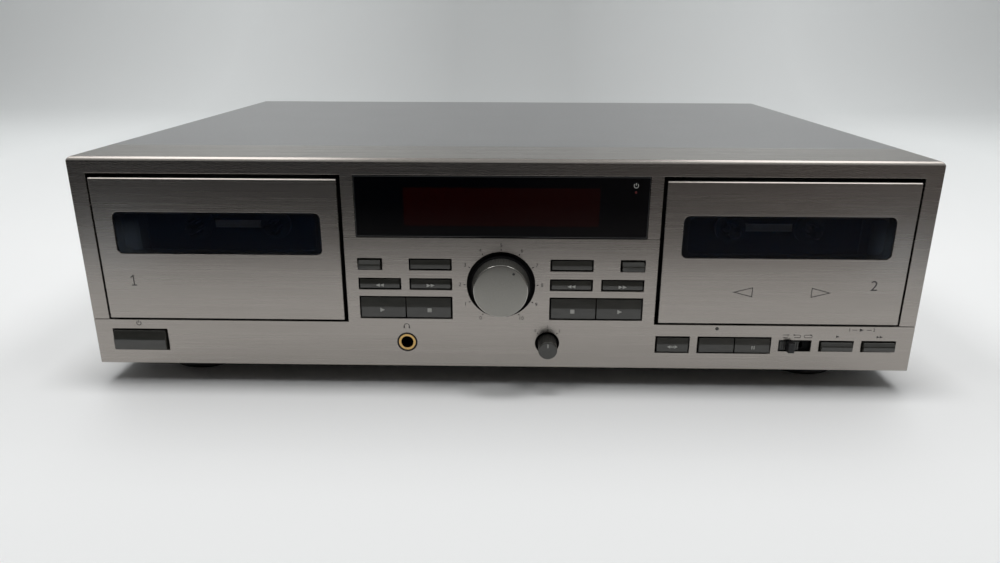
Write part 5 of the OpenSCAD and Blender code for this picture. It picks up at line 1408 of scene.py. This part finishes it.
pale = new_finish("pale_sweep", Roughness=0.6, Specular_IOR_Level=0.2)
tree = pale.node_tree
shader = tree.nodes["Principled BSDF"]
where = own_place(pale)
off_middle = maths(tree, "ABSOLUTE", where["X"])
aside = remap(tree, off_middle, ASIDE_NEAR, ASIDE_FAR)
# The wall runs from its lit sides to a middle painted darker: painted shade.
wall = blend(tree, maths(tree, "ADD", aside, mottle(pale, 300, 0.06)), WALL_MIDDLE_PAINTED_SHADE, WALL_SIDES)
sweep = blend(tree, remap(tree, where["Y"], BEHIND_NEAR, BEHIND_FAR), TABLE_PALE, wall)
tree.links.new(sweep, shader.inputs["Base Color"])
far_aside = maths(tree, "SUBTRACT", off_middle, FAR_ASIDE)
far_ahead = maths(tree, "SUBTRACT", maths(tree, "MULTIPLY", where["Y"], -1), FAR_AHEAD)
far = remap(tree, maths(tree, "MAXIMUM", far_aside, far_ahead), high=FAR_FADE)
glow = put(tree, "ShaderNodeEmission", {"Color": SKY_TINT, "Strength": SKY_SEEN})
mixed = put(tree, "ShaderNodeMixShader", {0: far, 1: shader.outputs[0], 2: glow.outputs[0]})
tree.links.new(mixed.outputs[0], tree.nodes["Material Output"].inputs["Surface"])
table.data.materials.append(pale)
print(f"the table fades into the sky from {FAR_ASIDE} m aside and {FAR_AHEAD} m in front")

# %% Dark card seen only by reflections
CARD_Y = -0.384
CARD_HALF = 1.6
CARD_TOP = 0.22
CARD_LEFT, CARD_RIGHT = -0.25, 0.5
CARD_DARK, CARD_LIGHT = (0.012, 0.012, 0.015), (0.13, 0.112, 0.106)
FOOT_H, FOOT_SHARE, FOOT_LIGHT = 0.05, 0.3, (0.6, 0.57, 0.55, 1)
# Two small pale patches low at the card's two ends: painted reflections for the ends of the front.
END_X, END_HALF, END_FULL = 0.325, 0.025, 0.015
END_TOP, END_FULL_TOP, END_LIGHT = 0.035, 0.02, (0.75, 0.88, 1.0, 1)
bm = bmesh.new()
corners = [(-CARD_HALF, 0), (CARD_HALF, 0), (CARD_HALF, CARD_TOP), (-CARD_HALF, CARD_TOP)]
bm.faces.new([bm.verts.new((x, CARD_Y, z)) for x, z in corners])
card = piece_from(bm, "dark_card")
card.visible_camera = False
card.visible_diffuse = False
card.visible_shadow = False
card_black = new_finish("card_black", Roughness=0.9, Specular_IOR_Level=0.1)
tree = card_black.node_tree
shader = tree.nodes["Principled BSDF"]
where = own_place(card_black)
aside = remap(tree, where["X"], CARD_LEFT, CARD_RIGHT)
cloudy = maths(tree, "ADD", aside, mottle(card_black, 400, 0.2))
colour_by(card_black, cloudy, CARD_DARK, CARD_LIGHT)
shade = shader.inputs["Base Color"].links[0].from_socket
lit_foot = blend(tree, remap(tree, where["Z"], 0, FOOT_H, FOOT_SHARE, 0), shade, FOOT_LIGHT)
off_middle = maths(tree, "ABSOLUTE", where["X"])
# The pale end patches, painted reflections for the ends of the front.
off_end = maths(tree, "ABSOLUTE", maths(tree, "SUBTRACT", off_middle, END_X))
at_end = maths(tree, "MULTIPLY", remap(tree, off_end, END_HALF, END_FULL),
               remap(tree, where["Z"], END_TOP, END_FULL_TOP))
tree.links.new(blend(tree, at_end, lit_foot, END_LIGHT), shader.inputs["Base Color"])
card.data.materials.append(card_black)
print(f"dark card up to {CARD_TOP} m, with a lit foot")

# %% Sky
SKY_FRONT, SKY_BACK = 0.02, 0.34
SKY_LOW, SKY_HIGH, SKY_LIFT = -0.2, 0.9, 0.8
world = bpy.data.worlds.new("studio_sky")
bpy.context.scene.world = world
world.use_nodes = True
tree = world.node_tree
ray = put(tree, "ShaderNodeLightPath").outputs
seen = maths(tree, "MAXIMUM", ray["Is Camera Ray"],
             maths(tree, "MAXIMUM", ray["Is Glossy Ray"], ray["Is Transmission Ray"]))
way = put(tree, "ShaderNodeTexCoord").outputs["Generated"]
way = put(tree, "ShaderNodeSeparateXYZ", {0: way}).outputs
lift = maths(tree, "ADD", way["Y"], maths(tree, "MULTIPLY", way["Z"], SKY_LIFT))
graded = remap(tree, lift, SKY_LOW, SKY_HIGH, SKY_FRONT, SKY_BACK)
sky = tree.nodes["Background"]
sky.inputs["Color"].default_value = SKY_TINT
tree.links.new(remap(tree, seen, to_low=graded, to_high=SKY_SEEN), sky.inputs["Strength"])
print(f"sky of strength {SKY_FRONT} in front to {SKY_BACK} behind")

# %% Lamps


def lamp(name, place, tilt, size, energy):
    """A soft rectangular lamp; a tilt of 0 degrees looks straight down, 90 at the wall."""
    data = bpy.data.lights.new(name, "AREA")
    data.shape = "RECTANGLE"
    data.size, data.size_y = size
    data.energy = energy
    made = bpy.data.objects.new(name, data)
    made.location = place
    made.rotation_euler = (math.radians(tilt), 0, 0)
    bpy.context.collection.objects.link(made)
    return made


LAMPS = (
    ("key_lamp", (0, -0.05, 1.6), 0, (0.5, 0.2), 9),
    ("softbox_left", (-0.62, 0.1, 1.2), 0, (0.5, 1.4), 6.6),
    ("softbox_right", (0.62, 0.1, 1.2), 0, (0.5, 1.4), 6.6),
    ("wall_wash", (0, 0.75, 1.7), 55, (2.6, 0.4), 8),
)
lamps = {row[0]: lamp(*row) for row in LAMPS}
lamps["key_lamp"].visible_glossy = False
bpy.context.scene.view_settings.view_transform = "Standard"
print(len(lamps), "lamps in place")
